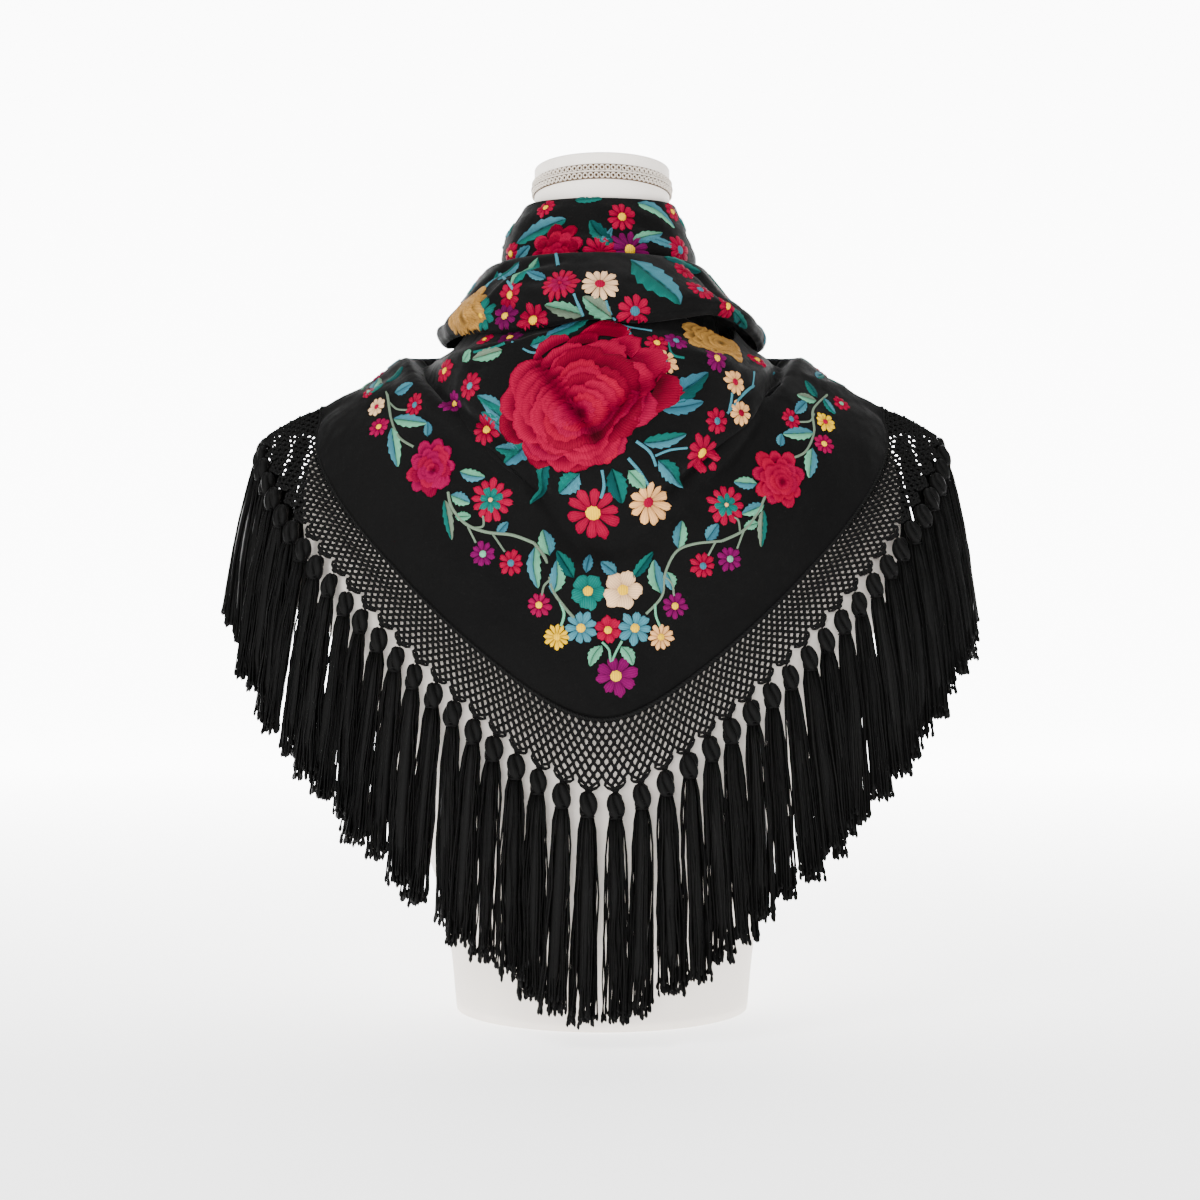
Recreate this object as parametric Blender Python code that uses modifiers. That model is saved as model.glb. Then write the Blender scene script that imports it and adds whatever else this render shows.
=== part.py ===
"""An embroidered flamenco shawl, worn point to the front and wound round the neck of a limbless dress form.

Metres, +Z up, front towards -Y. The origin is the centre of the form's flat base.

Every surface here is a stack of rings round the body. A ring is read from one row of a table: its half width,
its depths to the front and back, and its heights at the side, front and back. In between, angle 0 is the front,
90 degrees the wearer's left shoulder (+X) and 180 the nape.
"""

from collections import namedtuple

import bmesh
import bpy
import numpy as np

PART = "flamenco_shawl_on_dress_form"

CLOTH_WALL = 0.0015
LACE_WALL = 0.0012
FRINGE_WALL = 0.012
SEAM_GAP = 0.0003
FORM_GAP = 0.0033  # from the inside of the shawl to the form, where it rests
WRAP_GAP = 0.0008  # from the inside of a wrap to the form's neck

FRONT_REACH = 97.0  # degrees each way from the front, where the front ends and the back begins
BACK_END = 177.5  # degrees, where the two ends meet at the nape
SEAM_ANGLE = 0.50  # degrees between the front and the back
POINT_ANGLE = 0.10  # degrees each side of the point, between left and right
FRINGE_ANGLE = 0.22  # degrees between stretches of fringe, counted for each
LACE_START = 0.07  # of a row below the hem
SIDE_FRINGE = (62.0, 118.0)  # degrees, the stretch of fringe that hangs off the shoulder
CAP_HEIGHT = 0.028
CAP_RADIUS = 0.0550
BRAID_RADIUS = 0.0014
BRAID_RISE = 0.0015  # each row of braid climbs this much to the front

Ring = namedtuple("Ring", "name centre half_width front back z_side z_front z_back point power nape")

# point rounds the ring's lowest place at the front: small is a sharp V, large is a wide U.
# power above 1 keeps the ring high for longer near the shoulders. nape is 1 for an oval back, 2 for a straight one.
FORM_RINGS = [
    Ring("neck_top", 0.0, 0.0525, 0.0525, 0.0525, 0.6520, 0.6520, 0.6520, 0.8, 1.5, 1.0),
    Ring("neck_low", 0.0, 0.0540, 0.0530, 0.0560, 0.6060, 0.5900, 0.6120, 0.8, 1.5, 1.0),
    Ring("neck_base", 0.0, 0.0660, 0.0600, 0.0700, 0.5660, 0.5500, 0.5800, 0.8, 1.5, 1.0),
    Ring("yoke", 0.0, 0.1100, 0.0800, 0.0860, 0.5270, 0.5060, 0.5450, 0.8, 1.5, 1.0),
    Ring("shoulder_in", 0.0, 0.1650, 0.0960, 0.0960, 0.5085, 0.4560, 0.4950, 0.8, 1.5, 1.0),
    Ring("shoulder_out", 0.0, 0.2210, 0.1080, 0.1020, 0.4800, 0.4050, 0.4450, 0.8, 1.5, 1.0),
    Ring("shoulder_cap", 0.0, 0.2390, 0.1170, 0.1050, 0.4350, 0.3560, 0.4000, 0.8, 1.5, 1.0),
    Ring("arm", 0.0, 0.2420, 0.1220, 0.1050, 0.3850, 0.3120, 0.3600, 0.8, 1.5, 1.0),
    Ring("chest", 0.0, 0.2290, 0.1230, 0.1030, 0.3250, 0.2730, 0.3000, 0.8, 1.5, 1.0),
    Ring("under_bust", 0.0, 0.1960, 0.1150, 0.0980, 0.2550, 0.2250, 0.2350, 0.8, 1.5, 1.0),
    Ring("ribs", 0.0, 0.1620, 0.1030, 0.0910, 0.1750, 0.1650, 0.1670, 0.8, 1.5, 1.0),
    Ring("waist", 0.0, 0.1290, 0.0900, 0.0820, 0.0850, 0.0830, 0.0830, 0.8, 1.5, 1.0),
    Ring("base", 0.0, 0.1180, 0.0840, 0.0770, 0.0, 0.0, 0.0, 0.8, 1.5, 1.0),
]

# From the edge that is tucked under the wraps, over the cowl, through the valley behind the border, to the lace.
SHAWL_RINGS = [
    Ring("tuck", 0.0, 0.1060, 0.1010, 0.0900, 0.5500, 0.5560, 0.5620, 0.6, 1.4, 1.0),
    Ring("under_wrap", 0.0, 0.1190, 0.1150, 0.0925, 0.5350, 0.5350, 0.5580, 0.6, 1.4, 1.0),
    Ring("cowl_top", 0.0, 0.1310, 0.1310, 0.0945, 0.5270, 0.5180, 0.5550, 0.6, 1.3, 1.0),
    Ring("cowl_upper", 0.0, 0.1370, 0.1440, 0.0960, 0.5230, 0.4890, 0.5520, 0.6, 1.2, 1.0),
    Ring("cowl_full", 0.0, 0.1410, 0.1510, 0.0970, 0.5210, 0.4540, 0.5500, 0.5, 1.1, 1.0),
    Ring("cowl_low", 0.0, 0.1440, 0.1470, 0.0980, 0.5200, 0.4180, 0.5485, 0.3, 1.2, 1.2),
    Ring("valley", 0.0, 0.1470, 0.1340, 0.0990, 0.5190, 0.3850, 0.5470, 0.12, 1.5, 1.4),
    Ring("ridge", 0.0, 0.1600, 0.1370, 0.1000, 0.5275, 0.3660, 0.5460, 0.12, 1.5, 1.6),
    Ring("border_upper", 0.0, 0.1810, 0.1375, 0.1010, 0.5140, 0.3320, 0.5445, 0.12, 1.35, 1.8),
    Ring("border_middle", 0.0, 0.2020, 0.1360, 0.1020, 0.5000, 0.2980, 0.5430, 0.12, 1.25, 1.9),
    Ring("border_lower", 0.0, 0.2170, 0.1340, 0.1030, 0.4930, 0.2680, 0.5420, 0.12, 1.15, 1.9),
    Ring("hem", 0.0, 0.2280, 0.1320, 0.1040, 0.4870, 0.2430, 0.5410, 0.12, 1.10, 1.9),
    Ring("lace_middle", 0.0, 0.2500, 0.1320, 0.1100, 0.4780, 0.2160, 0.5170, 0.12, 1.22, 1.75),
    Ring("lace_edge", 0.0, 0.2720, 0.1320, 0.1150, 0.4650, 0.1900, 0.4920, 0.12, 1.35, 1.6),
]

FRINGE_RINGS = [
    Ring("knots", 0.0, 0.2740, 0.1330, 0.1170, 0.4624, 0.1892, 0.4912, 0.12, 1.35, 1.6),
    Ring("necks", 0.0, 0.2800, 0.1360, 0.1210, 0.4350, 0.1600, 0.4600, 0.12, 1.35, 1.5),
    Ring("skirts", 0.0, 0.2900, 0.1370, 0.1240, 0.3800, 0.0900, 0.3950, 0.12, 1.35, 1.4),
    Ring("tips", 0.0, 0.2970, 0.1370, 0.1250, 0.3150, 0.0180, 0.3200, 0.12, 1.35, 1.4),
]

UPPER_WRAP_RINGS = [
    Ring("turned_in", 0.0, 0.0534, 0.0534, 0.0538, 0.6390, 0.6330, 0.6450, 0.8, 1.5, 1.0),
    Ring("edge", -0.001, 0.0600, 0.0600, 0.0610, 0.6490, 0.6425, 0.6540, 0.8, 1.5, 1.0),
    Ring("upper", -0.002, 0.0650, 0.0640, 0.0650, 0.6420, 0.6330, 0.6480, 0.8, 1.5, 1.0),
    Ring("middle", -0.003, 0.0735, 0.0715, 0.0700, 0.6260, 0.6160, 0.6340, 0.8, 1.5, 1.0),
    Ring("full", -0.003, 0.0790, 0.0765, 0.0750, 0.6060, 0.6010, 0.6180, 0.8, 1.5, 1.0),
    Ring("tucked", -0.003, 0.0740, 0.0720, 0.0710, 0.5920, 0.5880, 0.6050, 0.8, 1.5, 1.0),
]

LOWER_WRAP_RINGS = [
    Ring("tucked", -0.003, 0.0746, 0.0726, 0.0716, 0.5910, 0.5870, 0.6040, 0.8, 1.5, 1.0),
    Ring("edge", -0.005, 0.0880, 0.0900, 0.0870, 0.5960, 0.5940, 0.6150, 0.8, 1.5, 1.0),
    Ring("upper", -0.005, 0.1030, 0.1030, 0.0970, 0.5840, 0.5840, 0.6070, 0.8, 1.5, 1.0),
    Ring("middle", -0.004, 0.1190, 0.1160, 0.1060, 0.5650, 0.5680, 0.5930, 0.8, 1.5, 1.0),
    Ring("full", -0.001, 0.1310, 0.1250, 0.1130, 0.5490, 0.5500, 0.5790, 0.8, 1.5, 1.0),
    Ring("lip", 0.0, 0.1310, 0.1250, 0.1130, 0.5390, 0.5390, 0.5670, 0.8, 1.5, 1.0),
    Ring("turned_under", 0.0, 0.1265, 0.1205, 0.1085, 0.5350, 0.5350, 0.5640, 0.8, 1.5, 1.0),
]

INNER_WRAP_RINGS = [
    Ring("top", 0.0, 0.0900, 0.0870, 0.0800, 0.5730, 0.5720, 0.5860, 0.8, 1.5, 1.0),
    Ring("middle", 0.0, 0.0940, 0.0900, 0.0820, 0.5500, 0.5450, 0.5740, 0.8, 1.5, 1.0),
    Ring("low", 0.0, 0.0960, 0.0860, 0.0820, 0.5400, 0.5240, 0.5640, 0.8, 1.5, 1.0),
]

Pocket = namedtuple("Pocket", "name angle half_angle drop swell")

# Where the shawl's tucked edge sags away from the wraps, so that the stretch behind it shows.
POCKETS = [
    Pocket("left_shoulder", 52.0, 34.0, 0.022, 0.014),
    Pocket("right_shoulder", -66.0, 26.0, 0.012, 0.008),
]
POCKET_SHARE = {"tuck": 1.0, "under_wrap": 0.9, "cowl_top": 0.7, "cowl_upper": 0.35}

Finish = namedtuple("Finish", "name colour roughness metallic")
BLACK_CREPE = Finish("black_crepe", (0.012, 0.012, 0.013), 0.75, 0.0)
BLACK_LACE = Finish("black_lace_cord", (0.010, 0.010, 0.011), 0.60, 0.0)
BLACK_FRINGE = Finish("black_fringe", (0.010, 0.010, 0.011), 0.55, 0.0)
FORM_LINEN = Finish("form_linen", (0.82, 0.78, 0.75), 0.85, 0.0)
CREAM_BRAID = Finish("cream_braid", (0.78, 0.73, 0.66), 0.80, 0.0)


def share_of_drop(turn, point, power):
    """How much of the fall from side to front a ring has made, for a turn of 1 at the side to 0 at the front."""
    rounded = (np.sqrt(turn**2 + point**2) - point) / (np.sqrt(1 + point**2) - point)
    return np.clip(1 - rounded, 0, 1) ** power


def smooth_rows(rings, level):
    """The rings' columns at fractional levels, on a smooth curve through the rows."""
    table = np.array([ring[1:] for ring in rings])
    last = len(rings) - 1
    low = np.clip(np.floor(level).astype(int), 0, last - 1)
    part = (level - low)[..., None]
    before = table[np.maximum(low - 1, 0)]
    start, end = table[low], table[low + 1]
    after = table[np.minimum(low + 2, last)]
    slope_start, slope_end = (end - before) / 2, (after - start) / 2
    square, cube = part**2, part**3
    return (
        (2 * cube - 3 * square + 1) * start
        + (cube - 2 * square + part) * slope_start
        + (3 * square - 2 * cube) * end
        + (cube - square) * slope_end
    )


def ring_point(columns, degrees):
    """Points on the rings at these angles, as an array of x, y, z."""
    centre, half_width, front, back, z_side, z_front, z_back, point, power, nape = np.moveaxis(columns, -1, 0)
    angle = np.radians(degrees)
    sine, cosine = np.sin(angle), np.cos(angle)
    behind = cosine < 0
    bend = np.where(behind, nape, 1.0)
    pull = (np.abs(sine) ** (2 / bend) + np.abs(cosine) ** (2 / bend)) ** (-bend / 2)
    x = centre + half_width * sine * pull
    y = -np.where(behind, back, front) * cosine * pull
    turn = np.abs((np.abs(degrees) + 90) % 180 - 90) / 90
    drop = np.where(behind, share_of_drop(turn, 0.5, 1.3), share_of_drop(turn, point, power))
    z = z_side + (np.where(behind, z_back, z_front) - z_side) * drop
    return np.stack([x, y, z], axis=-1)


def form_section(degrees, height):
    """Half width and depth of the form's ring that passes through each height at each angle."""
    levels = np.linspace(0, len(FORM_RINGS) - 1, 121)
    columns = smooth_rows(FORM_RINGS, levels)
    heights = ring_point(columns[None, :, :], degrees[:, None])[..., 2]
    above = np.clip((heights > height[:, None]).sum(axis=1), 1, len(levels) - 1)
    row = np.arange(len(height))
    upper, lower = heights[row, above - 1], heights[row, above]
    part = np.clip((upper - height) / (upper - lower), 0, 1)[:, None]
    section = columns[above - 1] * (1 - part) + columns[above] * part
    return section[:, 1], np.where(np.abs(degrees) > 90, section[:, 3], section[:, 2])


def outside_form(points, gap):
    """Points that would come nearer to the form than the gap move straight out from its axis until they clear it."""
    shape = points.shape
    points = points.reshape(-1, 3)
    x, y, z = points.T
    degrees = np.degrees(np.arctan2(x / 2, -y))
    for _ in range(5):
        half_width, depth = form_section(degrees, z)
        degrees = np.degrees(np.arctan2(x / half_width, -y / depth))
    reach = np.hypot(x / half_width, y / depth)
    grow = np.maximum(reach, 1 + gap / np.hypot(x, y)) / reach
    return (points * np.stack([grow, grow, np.ones_like(grow)], axis=-1)).reshape(shape)


def sag_at_pockets(points, degrees, level):
    names = [ring.name for ring in SHAWL_RINGS]
    share = np.interp(level, range(len(names)), [POCKET_SHARE.get(name, 0.0) for name in names])
    for pocket in POCKETS:
        near = np.clip(1 - np.abs(degrees - pocket.angle) / pocket.half_angle, 0, 1)
        depth = share * near**2 * (3 - 2 * near)
        points[..., 2] -= pocket.drop * depth
        points[..., :2] *= (1 + pocket.swell * depth / np.hypot(points[..., 0], points[..., 1]))[..., None]
    return points


def shawl_surface(degrees, level):
    points = ring_point(smooth_rows(SHAWL_RINGS, level), degrees)
    return outside_form(sag_at_pockets(points, degrees, level), CLOTH_WALL + FORM_GAP)


def fringe_surface(degrees, level):
    return outside_form(ring_point(smooth_rows(FRINGE_RINGS, level), degrees), FRINGE_WALL / 2 + 2 * FORM_GAP)


def wrap_surface(rings, gap):
    def surface(degrees, level):
        return outside_form(ring_point(smooth_rows(rings, level), degrees), gap)

    return surface


def level_of(rings, name):
    return [ring.name for ring in rings].index(name)


def material(finish):
    made = bpy.data.materials.get(finish.name) or bpy.data.materials.new(finish.name)
    made.use_nodes = True
    shader = made.node_tree.nodes["Principled BSDF"]
    shader.inputs["Base Color"].default_value = (*finish.colour, 1)
    shader.inputs["Roughness"].default_value = finish.roughness
    shader.inputs["Metallic"].default_value = finish.metallic
    made.diffuse_color = (*finish.colour, 1)
    return made


def new_object(name, bm, finish, collection):
    mesh = bpy.data.meshes.new(name)
    bmesh.ops.recalc_face_normals(bm, faces=bm.faces)
    bm.to_mesh(mesh)
    bm.free()
    mesh.shade_smooth()
    mesh.materials.append(material(finish))
    made = bpy.data.objects.new(name, mesh)
    collection.objects.link(made)
    return made


def sheet(name, surface, angles, levels, columns, rows, wall, offset, finish, collection):
    """A panel on a surface, between two angles and two levels, thickened to its wall."""
    bm = bmesh.new()
    bmesh.ops.create_grid(bm, x_segments=columns, y_segments=rows, size=1)
    grid = np.array([vertex.co for vertex in bm.verts])
    across, down = (grid[:, 0] + 1) / 2, (1 - grid[:, 1]) / 2
    degrees = angles[0] + (angles[1] - angles[0]) * across
    level = levels[0] + (levels[1] - levels[0]) * down
    for vertex, place in zip(bm.verts, surface(degrees, level)):
        vertex.co = place
    if angles[1] - angles[0] == 360:
        bmesh.ops.remove_doubles(bm, verts=bm.verts, dist=1e-6)
    made = new_object(name, bm, finish, collection)
    face_outwards(made)
    thicken = made.modifiers.new("wall", "SOLIDIFY")
    thicken.thickness = wall
    thicken.offset = offset
    return made


def face_outwards(made):
    """Turns an open panel's faces away from the form's axis."""
    mesh = made.data
    away = sum(face.normal.xy.dot(face.center.xy) * face.area for face in mesh.polygons)
    if away < 0:
        mesh.flip_normals()


def build_form(collection):
    rows = 21
    segments = 32
    levels = np.linspace(0, len(FORM_RINGS) - 1, rows)
    bm = bmesh.new()
    bmesh.ops.create_grid(bm, x_segments=segments, y_segments=rows - 1, size=1)
    grid = np.array([vertex.co for vertex in bm.verts])
    degrees = -180 + 180 * (grid[:, 0] + 1)
    level = np.interp((1 - grid[:, 1]) / 2, np.linspace(0, 1, rows), levels)
    for vertex, place in zip(bm.verts, ring_point(smooth_rows(FORM_RINGS, level), degrees)):
        vertex.co = place
    bmesh.ops.remove_doubles(bm, verts=bm.verts, dist=1e-6)
    bmesh.ops.holes_fill(bm, edges=[edge for edge in bm.edges if edge.is_boundary])
    new_object("form_body", bm, FORM_LINEN, collection)


def build_neck_cap(collection):
    bottom = FORM_RINGS[0].z_side + SEAM_GAP
    bpy.ops.mesh.primitive_cylinder_add(
        vertices=40, radius=CAP_RADIUS, depth=CAP_HEIGHT, location=(0, 0, bottom + CAP_HEIGHT / 2)
    )
    cap = bpy.context.object
    cap.name = cap.data.name = "form_neck_cap"
    cap.data.materials.append(material(FORM_LINEN))
    rounded = cap.modifiers.new("rounded_rim", "BEVEL")
    rounded.width = 0.0015
    rounded.segments = 1
    move_to(collection, cap)


def build_braid(name, height, collection):
    """One row of braid round the cap, a little higher at the front."""
    radius = CAP_RADIUS + BRAID_RADIUS + SEAM_GAP
    bpy.ops.mesh.primitive_torus_add(
        major_segments=32, minor_segments=5, major_radius=radius, minor_radius=BRAID_RADIUS, location=(0, 0, height)
    )
    braid = bpy.context.object
    braid.name = braid.data.name = name
    for vertex in braid.data.vertices:
        vertex.co.z -= BRAID_RISE * vertex.co.y / radius
    braid.data.materials.append(material(CREAM_BRAID))
    move_to(collection, braid)


def move_to(collection, made):
    for holder in list(made.users_collection):
        holder.objects.unlink(made)
    collection.objects.link(made)


def build_cloth(collection):
    hem = level_of(SHAWL_RINGS, "hem")
    cloth = (CLOTH_WALL, -1, BLACK_CREPE, collection)
    sheet("shawl_front", shawl_surface, (-FRONT_REACH, FRONT_REACH), (0, hem), 32, 13, *cloth)
    sheet("shawl_back_left", shawl_surface, (FRONT_REACH + SEAM_ANGLE, BACK_END), (0, hem), 12, 6, *cloth)
    sheet("shawl_back_right", shawl_surface, (-BACK_END, -FRONT_REACH - SEAM_ANGLE), (0, hem), 12, 6, *cloth)
    sheet("wrap_upper", wrap_surface(UPPER_WRAP_RINGS, WRAP_GAP), (-180, 180), (0, 5), 28, 6, *cloth)
    sheet("wrap_lower", wrap_surface(LOWER_WRAP_RINGS, WRAP_GAP), (-180, 180), (0, 6), 32, 8, *cloth)
    sheet("wrap_inner", wrap_surface(INNER_WRAP_RINGS, CLOTH_WALL + WRAP_GAP), (-180, 180), (0, 2), 32, 3, *cloth)


def build_lace(collection):
    hem, edge = level_of(SHAWL_RINGS, "hem"), level_of(SHAWL_RINGS, "lace_edge")
    lace = (LACE_WALL, -1, BLACK_LACE, collection)
    stretches = {"front": (POINT_ANGLE, FRONT_REACH), "back": (FRONT_REACH + SEAM_ANGLE, BACK_END)}
    for name, (start, end) in stretches.items():
        sheet(f"lace_{name}_left", shawl_surface, (start, end), (hem + LACE_START, edge), 16, 3, *lace)
        sheet(f"lace_{name}_right", shawl_surface, (-end, -start), (hem + LACE_START, edge), 16, 3, *lace)


def build_fringe(collection):
    fringe = (FRINGE_WALL, 0, BLACK_FRINGE, collection)
    near, far = SIDE_FRINGE
    stretches = {
        "front": (POINT_ANGLE, near - FRINGE_ANGLE, 4),
        "side": (near + FRINGE_ANGLE, far - FRINGE_ANGLE, 4),
        "back": (far + FRINGE_ANGLE, BACK_END - 1, 7),
    }
    for name, (start, end, rows) in stretches.items():
        sheet(f"fringe_{name}_left", fringe_surface, (start, end), (0, 3), 10, rows, *fringe)
        sheet(f"fringe_{name}_right", fringe_surface, (-end, -start), (0, 3), 10, rows, *fringe)


def build():
    for old in list(bpy.data.objects):
        bpy.data.objects.remove(old)
    collection = bpy.data.collections.new(PART)
    bpy.context.scene.collection.children.link(collection)
    build_form(collection)
    build_neck_cap(collection)
    build_braid("form_braid_upper", 0.6665, collection)
    build_braid("form_braid_lower", 0.6595, collection)
    build_cloth(collection)
    build_lace(collection)
    build_fringe(collection)


build()
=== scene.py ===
"""Looks for an embroidered flamenco shawl, worn point to the front on a limbless dress form.

Metres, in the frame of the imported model: +Z up, front towards -Y, wearer's left towards +X.
Angle 0 is the front, 90 degrees the wearer's left shoulder and 180 the nape.
Photo places are pixels of a 1200 x 1200 picture.
"""

from collections import namedtuple

import bpy
import numpy as np
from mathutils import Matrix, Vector
from mathutils.bvhtree import BVHTree


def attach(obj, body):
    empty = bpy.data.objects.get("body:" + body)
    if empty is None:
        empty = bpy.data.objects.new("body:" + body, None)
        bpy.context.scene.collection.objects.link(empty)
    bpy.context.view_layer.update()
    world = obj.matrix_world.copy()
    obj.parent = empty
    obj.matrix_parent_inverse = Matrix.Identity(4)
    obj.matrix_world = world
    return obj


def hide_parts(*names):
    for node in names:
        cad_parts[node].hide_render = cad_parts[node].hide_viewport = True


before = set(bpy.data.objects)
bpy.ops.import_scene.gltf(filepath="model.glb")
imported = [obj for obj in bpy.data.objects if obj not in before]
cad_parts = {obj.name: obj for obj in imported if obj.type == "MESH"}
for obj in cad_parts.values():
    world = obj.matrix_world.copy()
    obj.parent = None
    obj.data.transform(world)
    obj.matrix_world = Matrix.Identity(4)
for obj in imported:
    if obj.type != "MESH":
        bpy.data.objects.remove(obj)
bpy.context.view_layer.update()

MM = 0.001

# The camera is level. FRONT_HALF is the furthest y at which cloth counts as seen from it.
EYE = np.array([-0.0016, -1.3000, 0.3300])
SENSOR_MM = 36.0
LENS_MM = 47.85
PICTURE = 1200
FOCAL_PIXELS = LENS_MM / SENSOR_MM * PICTURE
FRONT_HALF = 0.03

# Gaps are from the inside of the cloth to the form. The last three are degrees from the front: where the
# front meets the back, where the two ends stop at the nape, and where the side's tassels begin and end.
CLOTH_WALL = 0.0013
FORM_GAP = 0.0033
WRAP_GAP = 0.0008
FRINGE_WALL = 0.012
SEAM = 97.0 + 0.25
BACK_END = 177.5
FRINGE_TURNS = (50.0, 115.0)

CAP_RADIUS = 0.0550
CAP_RIM = 0.0022
CAP_LOW, CAP_TOP = 0.6523, 0.6803
# The cap's skirt runs down to the cloth, lower in front.
CAP_HEM, CAP_HEM_SLOPE = 0.6456, 0.040

# The braids: height of each on the cap, and half sizes of a link, along, up and out.
BRAIDS = {"form_braid_upper": 0.6662, "form_braid_lower": 0.6602}
LINK_SIZES = (0.00160, 0.00185, 0.0034)
LINK_PITCH = 0.0044
BRAID_RISE = 0.0015
BRAID_OUT = 0.0012
# A band behind the links is painted shade for the recess between them: its half height, how far behind them
# it sits, and its tone.
SHADE_BAND_HALF, SHADE_BAND_BEHIND = 0.0030, 0.0008
RECESS_SHADE_TONE = (0.16, 0.12, 0.09)
ROW_CORD_OUT, ROW_CORD_RADIUS = 0.0010, 0.0007

LACE_PITCH = 0.0061
LACE_ROWS = 12
CORD_RADIUS = 0.00088
PAIR_SPREAD = 0.0011
CORDS_A_TASSEL = 6
ROUNDNESS = 0.5
HEM_BEAD = 0.0012

# The rings of the solids, but the lower roll is up to 6 mm slimmer at the sides than its solid.
# point rounds a ring's lowest place at the front: small is a sharp V, large is a wide U. power above 1 keeps
# the ring high for longer near the shoulders. nape is 1 for an oval back, 2 for a straight one.
ring_columns = "name centre half_width front back z_side z_front z_back point power nape"
Ring = namedtuple("Ring", ring_columns, defaults=(0.8, 1.5, 1.0))

FORM_RINGS = [
    Ring("neck_top", 0.0, 0.0525, 0.0525, 0.0525, 0.6520, 0.6520, 0.6520),
    Ring("neck_low", 0.0, 0.0540, 0.0530, 0.0560, 0.6060, 0.5900, 0.6120),
    Ring("neck_base", 0.0, 0.0660, 0.0600, 0.0700, 0.5660, 0.5500, 0.5800),
    Ring("yoke", 0.0, 0.1100, 0.0800, 0.0860, 0.5270, 0.5060, 0.5450),
    Ring("shoulder_in", 0.0, 0.1650, 0.0960, 0.0960, 0.5085, 0.4560, 0.4950),
    Ring("shoulder_out", 0.0, 0.2210, 0.1080, 0.1020, 0.4800, 0.4050, 0.4450),
    Ring("shoulder_cap", 0.0, 0.2390, 0.1170, 0.1050, 0.4350, 0.3560, 0.4000),
    Ring("arm", 0.0, 0.2420, 0.1220, 0.1050, 0.3850, 0.3120, 0.3600),
    Ring("chest", 0.0, 0.2290, 0.1230, 0.1030, 0.3250, 0.2730, 0.3000),
    Ring("under_bust", 0.0, 0.1960, 0.1150, 0.0980, 0.2550, 0.2250, 0.2350),
    Ring("ribs", 0.0, 0.1620, 0.1030, 0.0910, 0.1750, 0.1650, 0.1670),
    Ring("waist", 0.0, 0.1290, 0.0900, 0.0820, 0.0850, 0.0830, 0.0830),
    Ring("base", 0.0, 0.1180, 0.0840, 0.0770, 0.0, 0.0, 0.0),
]
SHAWL_RINGS = [
    Ring("tuck", 0.0, 0.1060, 0.1010, 0.0900, 0.5500, 0.5560, 0.5620, 0.6, 1.4, 1.0),
    Ring("under_wrap", 0.0, 0.1190, 0.1150, 0.0925, 0.5350, 0.5350, 0.5580, 0.6, 1.4, 1.0),
    Ring("cowl_top", 0.0, 0.1310, 0.1310, 0.0945, 0.5270, 0.5180, 0.5550, 0.6, 1.3, 1.0),
    Ring("cowl_upper", 0.0, 0.1370, 0.1440, 0.0960, 0.5230, 0.4890, 0.5520, 0.6, 1.2, 1.0),
    Ring("cowl_full", 0.0, 0.1410, 0.1510, 0.0970, 0.5210, 0.4540, 0.5500, 0.5, 1.1, 1.0),
    Ring("cowl_low", 0.0, 0.1440, 0.1470, 0.0980, 0.5200, 0.4180, 0.5485, 0.3, 1.2, 1.2),
    Ring("valley", 0.0, 0.1470, 0.1340, 0.0990, 0.5190, 0.3850, 0.5470, 0.12, 1.5, 1.4),
    Ring("ridge", 0.0, 0.1600, 0.1370, 0.1000, 0.5275, 0.3660, 0.5460, 0.12, 1.5, 1.6),
    Ring("border_upper", 0.0, 0.1810, 0.1375, 0.1010, 0.5140, 0.3320, 0.5445, 0.12, 1.35, 1.8),
    Ring("border_middle", 0.0, 0.2020, 0.1360, 0.1020, 0.5000, 0.2980, 0.5430, 0.12, 1.25, 1.9),
    Ring("border_lower", 0.0, 0.2170, 0.1340, 0.1030, 0.4930, 0.2680, 0.5420, 0.12, 1.15, 1.9),
    Ring("hem", 0.0, 0.2280, 0.1320, 0.1040, 0.4870, 0.2430, 0.5410, 0.12, 1.10, 1.9),
    Ring("lace_middle", 0.0, 0.2500, 0.1320, 0.1100, 0.4780, 0.2160, 0.5170, 0.12, 1.22, 1.75),
    Ring("lace_edge", 0.0, 0.2720, 0.1320, 0.1150, 0.4650, 0.1900, 0.4920, 0.12, 1.35, 1.6),
]
FRINGE_RINGS = [
    Ring("knots", 0.0, 0.2740, 0.1330, 0.1170, 0.4624, 0.1892, 0.4912, 0.12, 1.35, 1.6),
    Ring("necks", 0.0, 0.2800, 0.1360, 0.1210, 0.4350, 0.1600, 0.4600, 0.12, 1.35, 1.5),
    Ring("skirts", 0.0, 0.2900, 0.1370, 0.1240, 0.3800, 0.0900, 0.3950, 0.12, 1.35, 1.4),
    Ring("tips", 0.0, 0.2970, 0.1370, 0.1250, 0.3150, 0.0180, 0.3200, 0.12, 1.35, 1.4),
]
UPPER_WRAP_RINGS = [
    Ring("turned_in", 0.0, 0.0534, 0.0534, 0.0538, 0.6390, 0.6330, 0.6450),
    Ring("edge", -0.001, 0.0600, 0.0600, 0.0610, 0.6490, 0.6425, 0.6540),
    Ring("upper", -0.002, 0.0650, 0.0640, 0.0650, 0.6420, 0.6330, 0.6480),
    Ring("middle", -0.003, 0.0735, 0.0715, 0.0700, 0.6260, 0.6160, 0.6340),
    Ring("full", -0.003, 0.0790, 0.0765, 0.0750, 0.6060, 0.6010, 0.6180),
    Ring("tucked", -0.003, 0.0740, 0.0720, 0.0710, 0.5920, 0.5880, 0.6050),
]
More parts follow.
